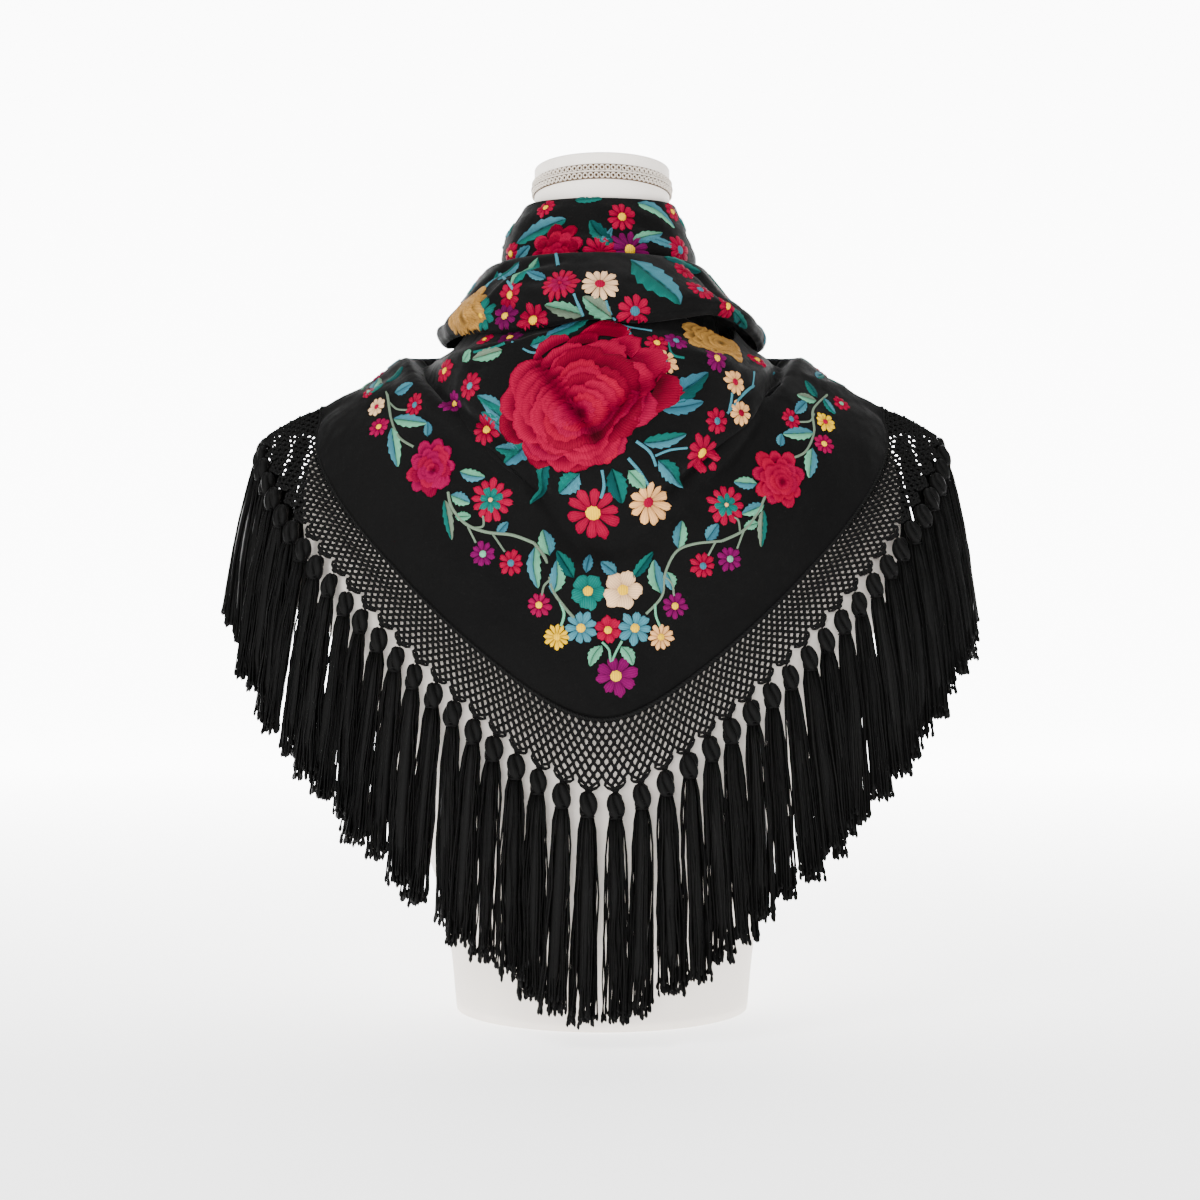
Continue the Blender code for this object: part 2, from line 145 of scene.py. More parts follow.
LOWER_WRAP_RINGS = [
    Ring("tucked", -0.003, 0.0746, 0.0726, 0.0716, 0.5910, 0.5870, 0.6040),
    Ring("edge", -0.005, 0.0880, 0.0900, 0.0870, 0.5960, 0.5940, 0.6150),
    Ring("upper", -0.005, 0.0985, 0.1030, 0.0970, 0.5840, 0.5840, 0.6070),
    Ring("middle", -0.004, 0.1130, 0.1160, 0.1060, 0.5650, 0.5680, 0.5930),
    Ring("full", -0.001, 0.1310, 0.1250, 0.1130, 0.5490, 0.5500, 0.5790),
    Ring("lip", 0.0, 0.1310, 0.1250, 0.1130, 0.5390, 0.5390, 0.5670),
    Ring("turned_under", 0.0, 0.1265, 0.1205, 0.1085, 0.5350, 0.5350, 0.5640),
]
INNER_WRAP_RINGS = [
    Ring("top", 0.0, 0.0900, 0.0870, 0.0800, 0.5730, 0.5720, 0.5860),
    Ring("middle", 0.0, 0.0940, 0.0900, 0.0820, 0.5500, 0.5450, 0.5740),
    Ring("low", 0.0, 0.0960, 0.0860, 0.0820, 0.5400, 0.5240, 0.5640),
]
HEM_LEVEL = 11
LACE_LEVEL = 13

Pocket = namedtuple("Pocket", "name angle half_angle drop swell")
POCKETS = [
    Pocket("left_shoulder", 52.0, 34.0, 0.022, 0.014),
    Pocket("right_shoulder", -66.0, 26.0, 0.012, 0.008),
]
POCKET_SHARE = {"tuck": 1.0, "under_wrap": 0.9, "cowl_top": 0.7, "cowl_upper": 0.35}

# The lower roll's lip isn't level: it rises over the wearer's left pocket and sags at its end and behind.
Wave = namedtuple("Wave", "name angle half_angle rise")
LIP_WAVES = [
    Wave("over_left_pocket", 44.0, 34.0, 0.010),
    Wave("over_right_pocket", -30.0, 24.0, -0.004),
    Wave("middle_rise", -2.0, 14.0, 0.002),
    Wave("left_end_sag", 88.0, 22.0, -0.004),
    Wave("behind", 150.0, 40.0, -0.004),
]
LIP_FROM, LIP_OVER = 2.5, 2  # the level where the waves start, and the levels over which they grow
BACK_POINT, BACK_POWER = 0.5, 1.3
FORM_STEPS = 121
CLEARING_ROUNDS = 5


def share_of_drop(turn, point, power):
    """How much of its fall to the front a ring has made. The turn is 1 at the side and 0 at the front."""
    rounded = (np.sqrt(turn**2 + point**2) - point) / (np.sqrt(1 + point**2) - point)
    return np.clip(1 - rounded, 0, 1) ** power


def smooth(rows, place):
    """The rows' values at fractional places, on a smooth curve through the rows."""
    last = len(rows) - 1
    low = np.clip(np.floor(place).astype(int), 0, last - 1)
    part = (place - low)[..., None]
    before = rows[np.maximum(low - 1, 0)]
    start, end = rows[low], rows[low + 1]
    after = rows[np.minimum(low + 2, last)]
    slope_start, slope_end = (end - before) / 2, (after - start) / 2
    square, cube = part**2, part**3
    return (
        (2 * cube - 3 * square + 1) * start
        + (cube - 2 * square + part) * slope_start
        + (3 * square - 2 * cube) * end
        + (cube - square) * slope_end
    )


def smooth_rows(rings, level):
    """The rings' columns at fractional levels."""
    return smooth(np.array([ring[1:] for ring in rings]), level)


def ring_point(columns, degrees):
    """Points on the rings at these angles, as an array of x, y, z."""
    centre, half_width, front, back, z_side, z_front, z_back, point, power, nape = np.moveaxis(columns, -1, 0)
    angle = np.radians(degrees)
    sine, cosine = np.sin(angle), np.cos(angle)
    behind = cosine < 0
    bend = np.where(behind, nape, 1.0)
    pull = (np.abs(sine) ** (2 / bend) + np.abs(cosine) ** (2 / bend)) ** (-bend / 2)
    x = centre + half_width * sine * pull
    y = -np.where(behind, back, front) * cosine * pull
    turn = np.abs((np.abs(degrees) + 90) % 180 - 90) / 90
    drop = np.where(behind, share_of_drop(turn, BACK_POINT, BACK_POWER), share_of_drop(turn, point, power))
    z = z_side + (np.where(behind, z_back, z_front) - z_side) * drop
    return np.stack([x, y, z], axis=-1)


def form_section(degrees, height):
    """Half width and depth of the form's ring that passes through each height at each angle."""
    levels = np.linspace(0, len(FORM_RINGS) - 1, FORM_STEPS)
    columns = smooth_rows(FORM_RINGS, levels)
    heights = ring_point(columns[None, :, :], degrees[:, None])[..., 2]
    above = np.clip((heights > height[:, None]).sum(axis=1), 1, len(levels) - 1)
    row = np.arange(len(height))
    upper, lower = heights[row, above - 1], heights[row, above]
    part = np.clip((upper - height) / (upper - lower), 0, 1)[:, None]
    section = columns[above - 1] * (1 - part) + columns[above] * part
    return section[:, 1], np.where(np.abs(degrees) > 90, section[:, 3], section[:, 2])


def outside_form(points, gap):
    """Points nearer to the form than the gap move straight out from its axis until they clear it."""
    shape = points.shape
    points = points.reshape(-1, 3)
    x, y, z = points.T
    degrees = np.degrees(np.arctan2(x / 2, -y))
    for _ in range(CLEARING_ROUNDS):
        half_width, depth = form_section(degrees, z)
        degrees = np.degrees(np.arctan2(x / half_width, -y / depth))
    reach = np.hypot(x / half_width, y / depth)
    grow = np.maximum(reach, 1 + gap / np.hypot(x, y)) / reach
    return (points * np.stack([grow, grow, np.ones_like(grow)], axis=-1)).reshape(shape)


def nearness(degrees, place):
    """1 at the middle of a pocket or wave, falling softly to 0 at its ends."""
    near = np.clip(1 - np.abs(degrees - place.angle) / place.half_angle, 0, 1)
    return near**2 * (3 - 2 * near)


def sag_at_pockets(points, degrees, level):
    names = [ring.name for ring in SHAWL_RINGS]
    share = np.interp(level, range(len(names)), [POCKET_SHARE.get(name, 0.0) for name in names])
    for pocket in POCKETS:
        depth = share * nearness(degrees, pocket)
        points[..., 2] -= pocket.drop * depth
        points[..., :2] *= (1 + pocket.swell * depth / np.hypot(points[..., 0], points[..., 1]))[..., None]
    return points


def shawl_surface(degrees, level):
    points = ring_point(smooth_rows(SHAWL_RINGS, level), degrees)
    return outside_form(sag_at_pockets(points, degrees, level), CLOTH_WALL + FORM_GAP)


def fringe_surface(degrees, level):
    return outside_form(ring_point(smooth_rows(FRINGE_RINGS, level), degrees), FRINGE_WALL / 2 + 2 * FORM_GAP)


def wrap_surface(rings, gap, waves=()):
    def surface(degrees, level):
        points = outside_form(ring_point(smooth_rows(rings, level), degrees), gap)
        for wave in waves:
            grown = np.clip((level - LIP_FROM) / LIP_OVER, 0, 1)
            points[..., 2] += wave.rise * nearness(degrees, wave) * grown
        return points

    return surface


def form_surface(degrees, level):
    return ring_point(smooth_rows(FORM_RINGS, level), degrees)


# ---------------------------------------------------------------- threads and tones


DYE_DEPTH = 0.88


def linear(red, green, blue):
    """A thread colour as 0 to 255 display values, made linear and a little deeper."""
    share = np.array([red, green, blue]) / 255
    return DYE_DEPTH * np.where(share <= 0.04045, share / 12.92, ((share + 0.055) / 1.055) ** 2.4)


THREADS = {
    "crimson": linear(160, 0, 52),
    "scarlet": linear(164, 0, 49),
    "deep_crimson": linear(128, 1, 38),
    "rose_pink": linear(158, 2, 56),
    "cerise": linear(152, 2, 68),
    "wine": linear(130, 1, 48),
    "purple": linear(116, 4, 82),
    "plum": linear(84, 3, 60),
    "teal": linear(24, 110, 100),
    "deep_teal": linear(12, 82, 80),
    "blue": linear(72, 136, 150),
    "slate": linear(60, 118, 136),
    "mint": linear(108, 184, 146),
    "sage": linear(116, 136, 114),
    "peach": linear(250, 186, 118),
    "cream": linear(252, 206, 156),
    "yellow": linear(255, 202, 12),
    "tan": linear(184, 136, 66),
}


class Socket:
    """One output in a material. Sums and products of it add Math nodes."""

    def __init__(self, paint, output):
        self.paint = paint
        self.output = output

    def math(self, operation, *values):
        return self.paint.node("ShaderNodeMath", {"operation": operation}, dict(enumerate(values)))

    def __add__(self, other):
        return self.math("ADD", self, other)

    def __mul__(self, other):
        return self.math("MULTIPLY", self, other)

    def sine(self):
        return self.math("SINE", self)

    def clipped(self):
        return self.math("MINIMUM", self.math("MAXIMUM", self, 0.0), 1.0)

    __radd__ = __add__
    __rmul__ = __mul__


class Paint:
    """A material as it is put together. What is the same all over is set on its shader first."""

    def __init__(self, name, **constants):
        self.material = bpy.data.materials.new(name)
        self.material.use_nodes = True
        self.tree = self.material.node_tree
        self.shader = self.tree.nodes["Principled BSDF"]
        for socket, value in constants.items():
            self.shader.inputs[socket.replace("_", " ")].default_value = value

    def node(self, kind, settings, inputs, output=0):
        made = self.tree.nodes.new(kind)
        for key, value in settings.items():
            setattr(made, key, value)
        for key, value in inputs.items():
            if isinstance(value, Socket):
                self.tree.links.new(value.output, made.inputs[key])
            else:
                made.inputs[key].default_value = value
        return Socket(self, made.outputs[output])

    def place(self):
        return self.node("ShaderNodeTexCoord", {}, {}, "Object")

    def uv(self, axis):
        where = self.node("ShaderNodeUVMap", {"uv_map": "run"}, {})
        return self.node("ShaderNodeSeparateXYZ", {}, {0: where}, axis)

    def grain(self, scale, detail=2.0):
        inputs = {"Vector": self.place(), "Scale": scale, "Detail": detail}
        return self.node("ShaderNodeTexNoise", {}, inputs)

    def thread(self):
        """The colour that each point of a piece carries."""
        return self.node("ShaderNodeAttribute", {"attribute_name": "thread"}, {}, "Color")

    def product(self, first, second):
        settings = {"data_type": "RGBA", "blend_type": "MULTIPLY"}
        return self.node("ShaderNodeMix", settings, {0: 1.0, 6: first, 7: second}, 2)

    def blend(self, share, first, second):
        colours = {6: first, 7: second}
        tones = {key: tone if isinstance(tone, Socket) else (*tone, 1) for key, tone in colours.items()}
        return self.node("ShaderNodeMix", {"data_type": "RGBA"}, {0: share, **tones}, 2)

    def bump(self, height, distance, strength=1.0, below=None):
        inputs = {"Height": height, "Distance": distance, "Strength": strength}
        if below:
            inputs["Normal"] = below
        return self.node("ShaderNodeBump", {}, inputs)

    def finish(self, **sockets):
        for socket, value in sockets.items():
            self.tree.links.new(value.output, self.shader.inputs[socket.replace("_", " ")])
        return self.material


def black_crepe():
    paint = Paint("black_crepe", Specular_IOR_Level=0.02, Sheen_Weight=0.035, Sheen_Roughness=0.45)
    pebble = paint.grain(1700.0)
    cloud = paint.grain(9.0)
    tone = paint.blend(cloud, (0.0022, 0.0022, 0.0023), (0.0048, 0.0047, 0.0046))
    speckle = paint.blend(pebble, (0.55, 0.55, 0.55), (1.5, 1.5, 1.5))
    tone = paint.product(tone, speckle)
    ripple = paint.bump(paint.grain(17.0, 3.0), 0.0110, 0.8)
    nap = paint.bump(pebble, 0.00035, 0.6, ripple)
    return paint.finish(Base_Color=tone, Roughness=0.55 + 0.16 * cloud, Normal=nap)


def silk_thread():
    paint = Paint("silk_thread", Specular_IOR_Level=0.03)
    colour = paint.thread()
    across = paint.uv("X")
    wander = paint.grain(260.0, 3.0)
    # Painted shade in the grooves between the stitches; the crests keep the thread's own colour.
    broad = (across * 3.7 + wander * 4.5).sine() * 0.5 + 0.5
    strand = (across * 8.4 + wander * 6.0).sine() * 0.5 + 0.5
    shade = (0.40 + 0.36 * broad + 0.34 * strand).clipped()
    stitch_groove_shade = paint.product(colour, (0.36, 0.30, 0.36, 1))
    tone = paint.blend(shade, stitch_groove_shade, colour)
    nap = paint.bump(broad * 0.6 + strand * 0.4, 0.0004, 0.9)
    return paint.finish(Base_Color=tone, Roughness=0.48 + 0.2 * wander, Normal=nap)


def twisted_cord(name, pitch, ply_groove_shade, tone_high, roughness, specular):
    """Plied cord: the plies slant round it, along the piece's own run, with painted shade in the grooves
    between them.
    """
    paint = Paint(name, Specular_IOR_Level=specular)
    twist = (paint.uv("X") * 6.2832 * 2.0 + paint.uv("Y") * (6.2832 / pitch)).sine() * 0.5 + 0.5
    fuzz = paint.grain(900.0)
    tone = paint.blend((twist * 0.7 + fuzz * 0.3).clipped(), ply_groove_shade, tone_high)
    each = paint.thread()
    tone = paint.product(tone, each)
    plies = paint.bump(twist, 0.0003, 0.8)
    return paint.finish(Base_Color=tone, Roughness=roughness + 0.2 * fuzz, Normal=plies)


def fringe_strand():
    """Loose strands, each of its own tone."""
    paint = Paint("fringe_strand", Specular_IOR_Level=0.05)
    each = paint.thread()
    fuzz = paint.grain(700.0)
    tone = paint.blend(fuzz, (0.0016, 0.0016, 0.0016), (0.0050, 0.0050, 0.0048))
    tone = paint.product(tone, each)
    nap = paint.bump(fuzz, 0.0003, 0.5)
    return paint.finish(Base_Color=tone, Roughness=0.42 + 0.2 * fuzz, Normal=nap)


def form_linen():
    paint = Paint("form_linen", Specular_IOR_Level=0.1)
    cloud = paint.grain(14.0, 4.0)
    fibre = paint.grain(1500.0, 2.0)
    where = paint.place()
    warp = (paint.node("ShaderNodeSeparateXYZ", {}, {0: where}, "Z") * 5200.0).sine()
    tone = paint.blend(cloud, (0.93, 0.85, 0.77), (0.97, 0.91, 0.84))
    weave = paint.bump(fibre + warp * 0.3, 0.0003, 0.35)
    return paint.finish(Base_Color=tone, Roughness=0.72 + 0.15 * cloud, Normal=weave)


def plain_floor():
    paint = Paint("pale_floor", Roughness=0.9, Specular_IOR_Level=0.0, Emission_Strength=1.0)
    tone = paint.blend(paint.grain(2.0), (0.90, 0.90, 0.90), (0.94, 0.94, 0.94))
    place = paint.node("ShaderNodeSeparateXYZ", {}, {0: paint.place()}, "Y")
    # The floor glows as painted light: faint under the object, brighter further behind it.
    away = (0.5 * place + 0.1).clipped()
    return paint.finish(Base_Color=tone, Emission_Color=paint.blend(away, (1.8, 1.8, 1.8), (9.6, 9.6, 9.6)))


# ---------------------------------------------------------------- camera and places on the cloth


def photo_ray(photo_x, photo_y):
    """The direction from the eye through a place in the picture."""
    half = PICTURE / 2
    way = np.array([(photo_x - half) / FOCAL_PIXELS, 1.0, -(photo_y - half) / FOCAL_PIXELS])
    return way / np.linalg.norm(way)


def unit(vectors):
    return vectors / np.maximum(np.linalg.norm(vectors, axis=-1, keepdims=True), 1e-12)


def grid_normals(points):
    """Outward normals of a grid whose columns run round the body and whose rows run down it."""
    across = np.gradient(points, axis=1)
    down = np.gradient(points, axis=0)
    normals = unit(np.cross(down, across))
    away = (normals[..., :2] * points[..., :2]).sum(axis=-1)
    return normals if away.sum() > 0 else -normals


def grid_faces(index):
    """Four-sided faces between the rows and columns of a grid of point numbers."""
    return np.stack([index[:-1, :-1], index[:-1, 1:], index[1:, 1:], index[1:, :-1]], axis=-1).reshape(-1, 4)


Spot = namedtuple("Spot", "centre right up normal")
LAY_FROM, LAY_DEPTH = 35 * MM, 90 * MM  # how far out a flat shape starts, and how far in it looks for cloth
NEAR_POINTS = 6
DEEP = -2 * MM  # a crease below this gets painted shade on the threads in it


class Cloth:
    """One stretch of cloth as a grid of points, with its creases, and the places on it."""

    def __init__(self, surface, angles, levels, columns, rows):
        self.angles, self.levels = angles, levels
        self.columns, self.rows = columns, rows
        level = np.linspace(*levels, rows + 1)[:, None]
        degrees = np.linspace(*angles, columns + 1)[None, :]
        level, degrees = np.broadcast_arrays(level, degrees)
        self.points = surface(degrees.reshape(-1), level.reshape(-1)).reshape(rows + 1, columns + 1, 3)
        self.shaded_troughs = []
        self.settle()

    def settle(self):
        self.normals = grid_normals(self.points)
        index = np.arange(self.points[..., 0].size).reshape(self.points.shape[:2])
        self.tree = BVHTree.FromPolygons(self.points.reshape(-1, 3).tolist(), grid_faces(index).tolist())

    def sample(self, degrees, level):
        """Points and outward normals at arrays of angles and levels."""
        column = (degrees - self.angles[0]) / (self.angles[1] - self.angles[0]) * self.columns
        row = (level - self.levels[0]) / (self.levels[1] - self.levels[0]) * self.rows
        left = np.clip(column, 0, self.columns - 1).astype(int)
        top = np.clip(row, 0, self.rows - 1).astype(int)
        part_column, part_row = (column - left)[..., None], (row - top)[..., None]
        found = []
        for grid in (self.points, self.normals):
            above = grid[top, left] * (1 - part_column) + grid[top, left + 1] * part_column
            below = grid[top + 1, left] * (1 - part_column) + grid[top + 1, left + 1] * part_column
            found.append(above * (1 - part_row) + below * part_row)
        return found[0], unit(found[1])

    def at(self, degrees, level):
        """The point at an angle and a level."""
        return self.sample(np.array(float(degrees)), np.array(float(level)))[0]

    def seen(self, photo_x, photo_y):
        """The point that shows at a place in the picture, or None."""
        hit = self.tree.ray_cast(Vector(EYE), Vector(photo_ray(photo_x, photo_y)))[0]
        return None if hit is None or hit.y > FRONT_HALF else np.array(hit)

    def normal_at(self, point):
        """The smooth normal near a point."""
        far = np.linalg.norm(self.points - point, axis=-1)
        near = np.unravel_index(np.argsort(far, axis=None)[:NEAR_POINTS], far.shape)
        return unit(self.normals[near].sum(axis=0))

    def spot(self, point, towards=(0.0, 0.0, 1.0)):
        """A place to stitch at, whose up runs as nearly as it can along a direction."""
        normal = self.normal_at(point)
        towards = np.array(towards)
        up = unit(towards - normal * (towards @ normal))
        return Spot(point, np.cross(up, normal), up, normal)

    def lay(self, spot, across, upwards, lift):
        """Points of a flat shape laid on the cloth round a spot, and which of them found cloth under them."""
        shape = across.shape
        flat = (
            spot.centre
            + across.reshape(-1, 1) * spot.right
            + upwards.reshape(-1, 1) * spot.up
            + spot.normal * LAY_FROM
        )
        way = Vector(-spot.normal)
        laid = np.zeros_like(flat)
        found = np.zeros(len(flat), bool)
        for index, (start, height) in enumerate(zip(flat, lift.reshape(-1))):
            hit, normal, _, _ = self.tree.ray_cast(Vector(start), way, LAY_DEPTH)
            if hit is None:
                continue
            if normal.dot(way) > 0:
                normal = -normal
            laid[index] = hit + normal * float(height)
            found[index] = True
        return laid.reshape(*shape, 3), found.reshape(shape)

    def crease(self, path, width, height):
        """A soft ridge, or a trough where height is below zero, along a path. It fades at both ends."""
        path = np.array(path)
        steps = np.linspace(0, len(path) - 1, 8 * len(path))
        line = np.stack([np.interp(steps, range(len(path)), path[:, axis]) for axis in range(3)], axis=-1)
        far = np.linalg.norm(self.points[:, :, None, :] - line, axis=-1)
        near = far.argmin(axis=-1)
        fade = np.sin(np.pi * (near + 0.5) / len(steps)) ** 0.6
        depth = height * np.exp(-((far.min(axis=-1) / width) ** 2)) * fade
        self.points = self.points + self.normals * depth[..., None]
        # A deep trough is stored too, so that shade can be painted on the threads laid in it.
        if height < DEEP:
            self.shaded_troughs.append((line, width * 0.8, min(0.6, -height / MM * 0.075)))

    def painted_crease_shade(self, points):
        """How much of its tone a thread keeps at points down in the deeper creases, as painted shade."""
        unshaded_share = np.ones(points.shape[:-1])
        for line, width, shade_depth in self.shaded_troughs:
            far = np.linalg.norm(points[..., None, :] - line, axis=-1).min(axis=-1)
            unshaded_share *= 1 - shade_depth * np.exp(-((far / width) ** 2))
        return unshaded_share[..., None]


# ---------------------------------------------------------------- meshes from arrays


class Bundle:
    """Many small shapes gathered into one mesh. Its points have a thread colour and a run along the shape."""

    def __init__(self):
        self.points, self.faces, self.colours, self.runs = [], [], [], []
        self.count = 0

    def add(self, points, faces, runs, colour):
        total = len(points)
        self.points.append(points)
        self.faces.append(faces + self.count)
        self.runs.append(runs)
        self.colours.append(np.broadcast_to(colour, (total, 3)))
        self.count += total

    def patch(self, points, runs, colour, found=None):
        """An open sheet of rows and columns. Faces whose points found no cloth are left out."""
        rows, columns = points.shape[:2]
        index = np.arange(rows * columns).reshape(rows, columns)
        faces = grid_faces(index)
        if found is not None:
            faces = faces[found.reshape(-1)[faces].all(axis=1)]
        tone = np.broadcast_to(colour, (rows, columns, 3)).reshape(-1, 3)
        if len(faces):
            self.add(points.reshape(-1, 3), faces, runs.reshape(-1, 2), tone)

    def tubes(self, paths, normals, radii, sides, colour=(1.0, 1.0, 1.0)):
        """Round cords along paths, as arrays of cords, points along and x, y, z, closed at both ends."""
        cords, steps = paths.shape[:2]
        along = unit(np.gradient(paths, axis=1))
        side = unit(np.cross(along, normals))
        out = np.cross(side, along)
        turn = np.arange(sides) * 2 * np.pi / sides
        radii = np.broadcast_to(radii, (cords, steps))
        ring = side[:, :, None, :] * np.cos(turn)[:, None] + out[:, :, None, :] * np.sin(turn)[:, None]
        points = paths[:, :, None, :] + ring * radii[:, :, None, None]
        travelled = np.cumsum(np.linalg.norm(np.diff(paths, axis=1, prepend=paths[:, :1]), axis=-1), axis=1)
        runs = np.empty((cords, steps, sides, 2))
        runs[..., 0] = np.arange(sides) / sides
        runs[..., 1] = travelled[:, :, None] / MM
        index = np.arange(cords * steps * sides).reshape(cords, steps, sides)
        turned = np.roll(index, -1, axis=2)
        faces = np.stack([index[:, :-1], turned[:, :-1], turned[:, 1:], index[:, 1:]], axis=-1).reshape(-1, 4)
        colour = np.repeat(np.broadcast_to(colour, (cords, 3)), steps * sides, axis=0)
        ends = np.concatenate([index[:, 0], index[:, -1, ::-1]]) + self.count
        self.add(points.reshape(-1, 3), faces[:, ::-1], runs.reshape(-1, 2), colour)
        self.faces.append(ends)

    def copies(self, shape, centres, right, up, out, sizes):
        """A small closed shape at many places, each with its own three directions and size."""
        points, faces = shape
        sizes = np.broadcast_to(sizes, (len(centres), 3))
        placed = (
            centres[:, None, :]
            + points[None, :, :1] * (right * sizes[:, :1])[:, None, :]
            + points[None, :, 1:2] * (up * sizes[:, 1:2])[:, None, :]
            + points[None, :, 2:] * (out * sizes[:, 2:])[:, None, :]
        )
        many = faces[None] + (np.arange(len(centres)) * len(points))[:, None, None]
        round_it = np.arctan2(points[:, 0], points[:, 2]) / 6.2832
        runs = np.tile(np.stack([round_it, points[:, 1]], axis=-1), (len(centres), 1))
        self.add(placed.reshape(-1, 3), many.reshape(-1, faces.shape[1]), runs, (1.0, 1.0, 1.0))

    def make(self, name, material, slot, replaces=()):
        points = np.concatenate(self.points)
        faces = [face for group in self.faces for face in group.tolist()]
        mesh = bpy.data.meshes.new(name)
        mesh.from_pydata(points.tolist(), [], faces)
        runs = np.concatenate(self.runs).astype(np.float32)
        corners = np.empty(len(mesh.loops), np.int32)
        mesh.loops.foreach_get("vertex_index", corners)
        mesh.uv_layers.new(name="run").data.foreach_set("uv", runs[corners].ravel())
        tones = np.concatenate([np.concatenate(self.colours), np.ones((len(points), 1))], axis=1)
        thread = mesh.attributes.new("thread", "FLOAT_COLOR", "POINT")
        thread.data.foreach_set("color", tones.astype(np.float32).ravel())
        mesh.shade_smooth()
        mesh.materials.append(material)
        made = bpy.data.objects.new(name, mesh)
        bpy.context.scene.collection.objects.link(made)
        only(made)
        edit_all("remove_doubles", threshold=1e-7)
        return keep(made, replaces)


def keep(made, replaces=()):
    """The piece rides on the object's one body, and the solids that it replaces are hidden."""
    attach(made, "root")
    if replaces:
        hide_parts(*replaces)
    return made


def only(made):
    bpy.ops.object.select_all(action="DESELECT")
    made.select_set(True)
    bpy.context.view_layer.objects.active = made


def edit_all(operator, **settings):
    """One edit of all the active piece's points."""
    bpy.ops.object.mode_set(mode="EDIT")
    bpy.ops.mesh.select_all(action="SELECT")
    getattr(bpy.ops.mesh, operator)(**settings)
    bpy.ops.object.mode_set(mode="OBJECT")


def primitive(kind, name, **settings):
    """A primitive as a new named object, the only one selected."""
    bpy.ops.object.select_all(action="DESELECT")
    getattr(bpy.ops.mesh, f"primitive_{kind}_add")(**settings)
    made = bpy.context.object
    made.name = made.data.name = name
    return made


def place_in_mesh(made):
    only(made)
    bpy.ops.object.transform_apply(location=True, rotation=True, scale=True)


def small_shape(kind, **settings):
    """A primitive's points and triangles, as a shape to copy many times."""
    made = primitive(kind, "small_shape", **settings)
    place_in_mesh(made)
    edit_all("quads_convert_to_tris")
    points = np.array([vertex.co for vertex in made.data.vertices])
    faces = [list(face.vertices) for face in made.data.polygons]
    bpy.data.objects.remove(made)
    # Blender lists a new sphere's faces in another order each run, so they are put in one order.
    firsts = [face.index(min(face)) for face in faces]
    return points, np.array(sorted(face[first:] + face[:first] for face, first in zip(faces, firsts)))


def grid_piece(cloth, name, material):
    """A grid primitive moved onto the cloth's points, with its seam joined and its faces outwards."""
    made = primitive("grid", name, x_subdivisions=cloth.columns, y_subdivisions=cloth.rows, size=2)
    grid = np.empty(len(made.data.vertices) * 3, np.float32)
    made.data.vertices.foreach_get("co", grid)
    grid = grid.reshape(-1, 3)
    column = np.rint((grid[:, 0] + 1) / 2 * cloth.columns).astype(int)
    row = np.rint((1 - grid[:, 1]) / 2 * cloth.rows).astype(int)
    made.data.vertices.foreach_set("co", cloth.points[row, column].astype(np.float32).ravel())
    facing = sum(face.normal.xy.dot(face.center.xy) * face.area for face in made.data.polygons)
    if facing < 0:
        made.data.flip_normals()
    only(made)
    edit_all("remove_doubles", threshold=1e-5)
    bpy.ops.object.shade_smooth()
    made.data.materials.append(material)
    return made


def shell(cloth, name, material, replaces):
    """The cloth's own piece, thickened inwards."""
    made = grid_piece(cloth, name, material)
    wall = made.modifiers.new("wall", "SOLIDIFY")
    wall.thickness = CLOTH_WALL
    wall.offset = -1
    wall.use_quality_normals = True
    bpy.ops.object.modifier_apply(modifier="wall")
    return keep(made, replaces)


# ---------------------------------------------------------------- stitched flowers, leaves and stems

# A stitched edge is sunk a little into the cloth, and a thread's middle stands above it.
STITCH_LOW = -0.0003
STITCH_HIGH = 0.0009
DYE_LOTS = 0.10
PETAL_UNEVEN = 0.08
INNER_PETALS = 7
LEAF_FULLNESS = 1.22
LEAF_TEETH = 5
STEM_STEPS = 6
ROSE_DRIFT = 0.22
ROSE_RISE = 0.0003
LOBED_LAYERS = 2
# Shares of the way out or along, and of the way across, at which a stitched shape has points.
PETAL_OUT = (0, 0.10, 0.34, 0.62, 0.86, 0.96, 1.0)
PETAL_ACROSS = (-1, -0.82, -0.42, 0, 0.42, 0.82, 1)
HEART_OUT = (0.0, 0.5, 0.85, 1.0)
ROSE_OUT = (0, 0.25, 0.5, 0.72, 0.88, 0.96, 1.0)
LEAF_ACROSS = (0, 0.16, 0.86, 1.0)
LEAF_LIFT = (0.10, 0.85, 0.85, -0.35)
STEM_ACROSS = (-1, -0.6, 0.6, 1)
chance = np.random.default_rng(11)


def tinted(colour):
    """A thread colour a little lighter or darker, as dye lots are."""
    return THREADS[colour] * (1 + DYE_LOTS * (chance.random() * 2 - 1))


def turned(across, upwards, angle):
    return across * np.cos(angle) + upwards * np.sin(angle), upwards * np.cos(angle) - across * np.sin(angle)


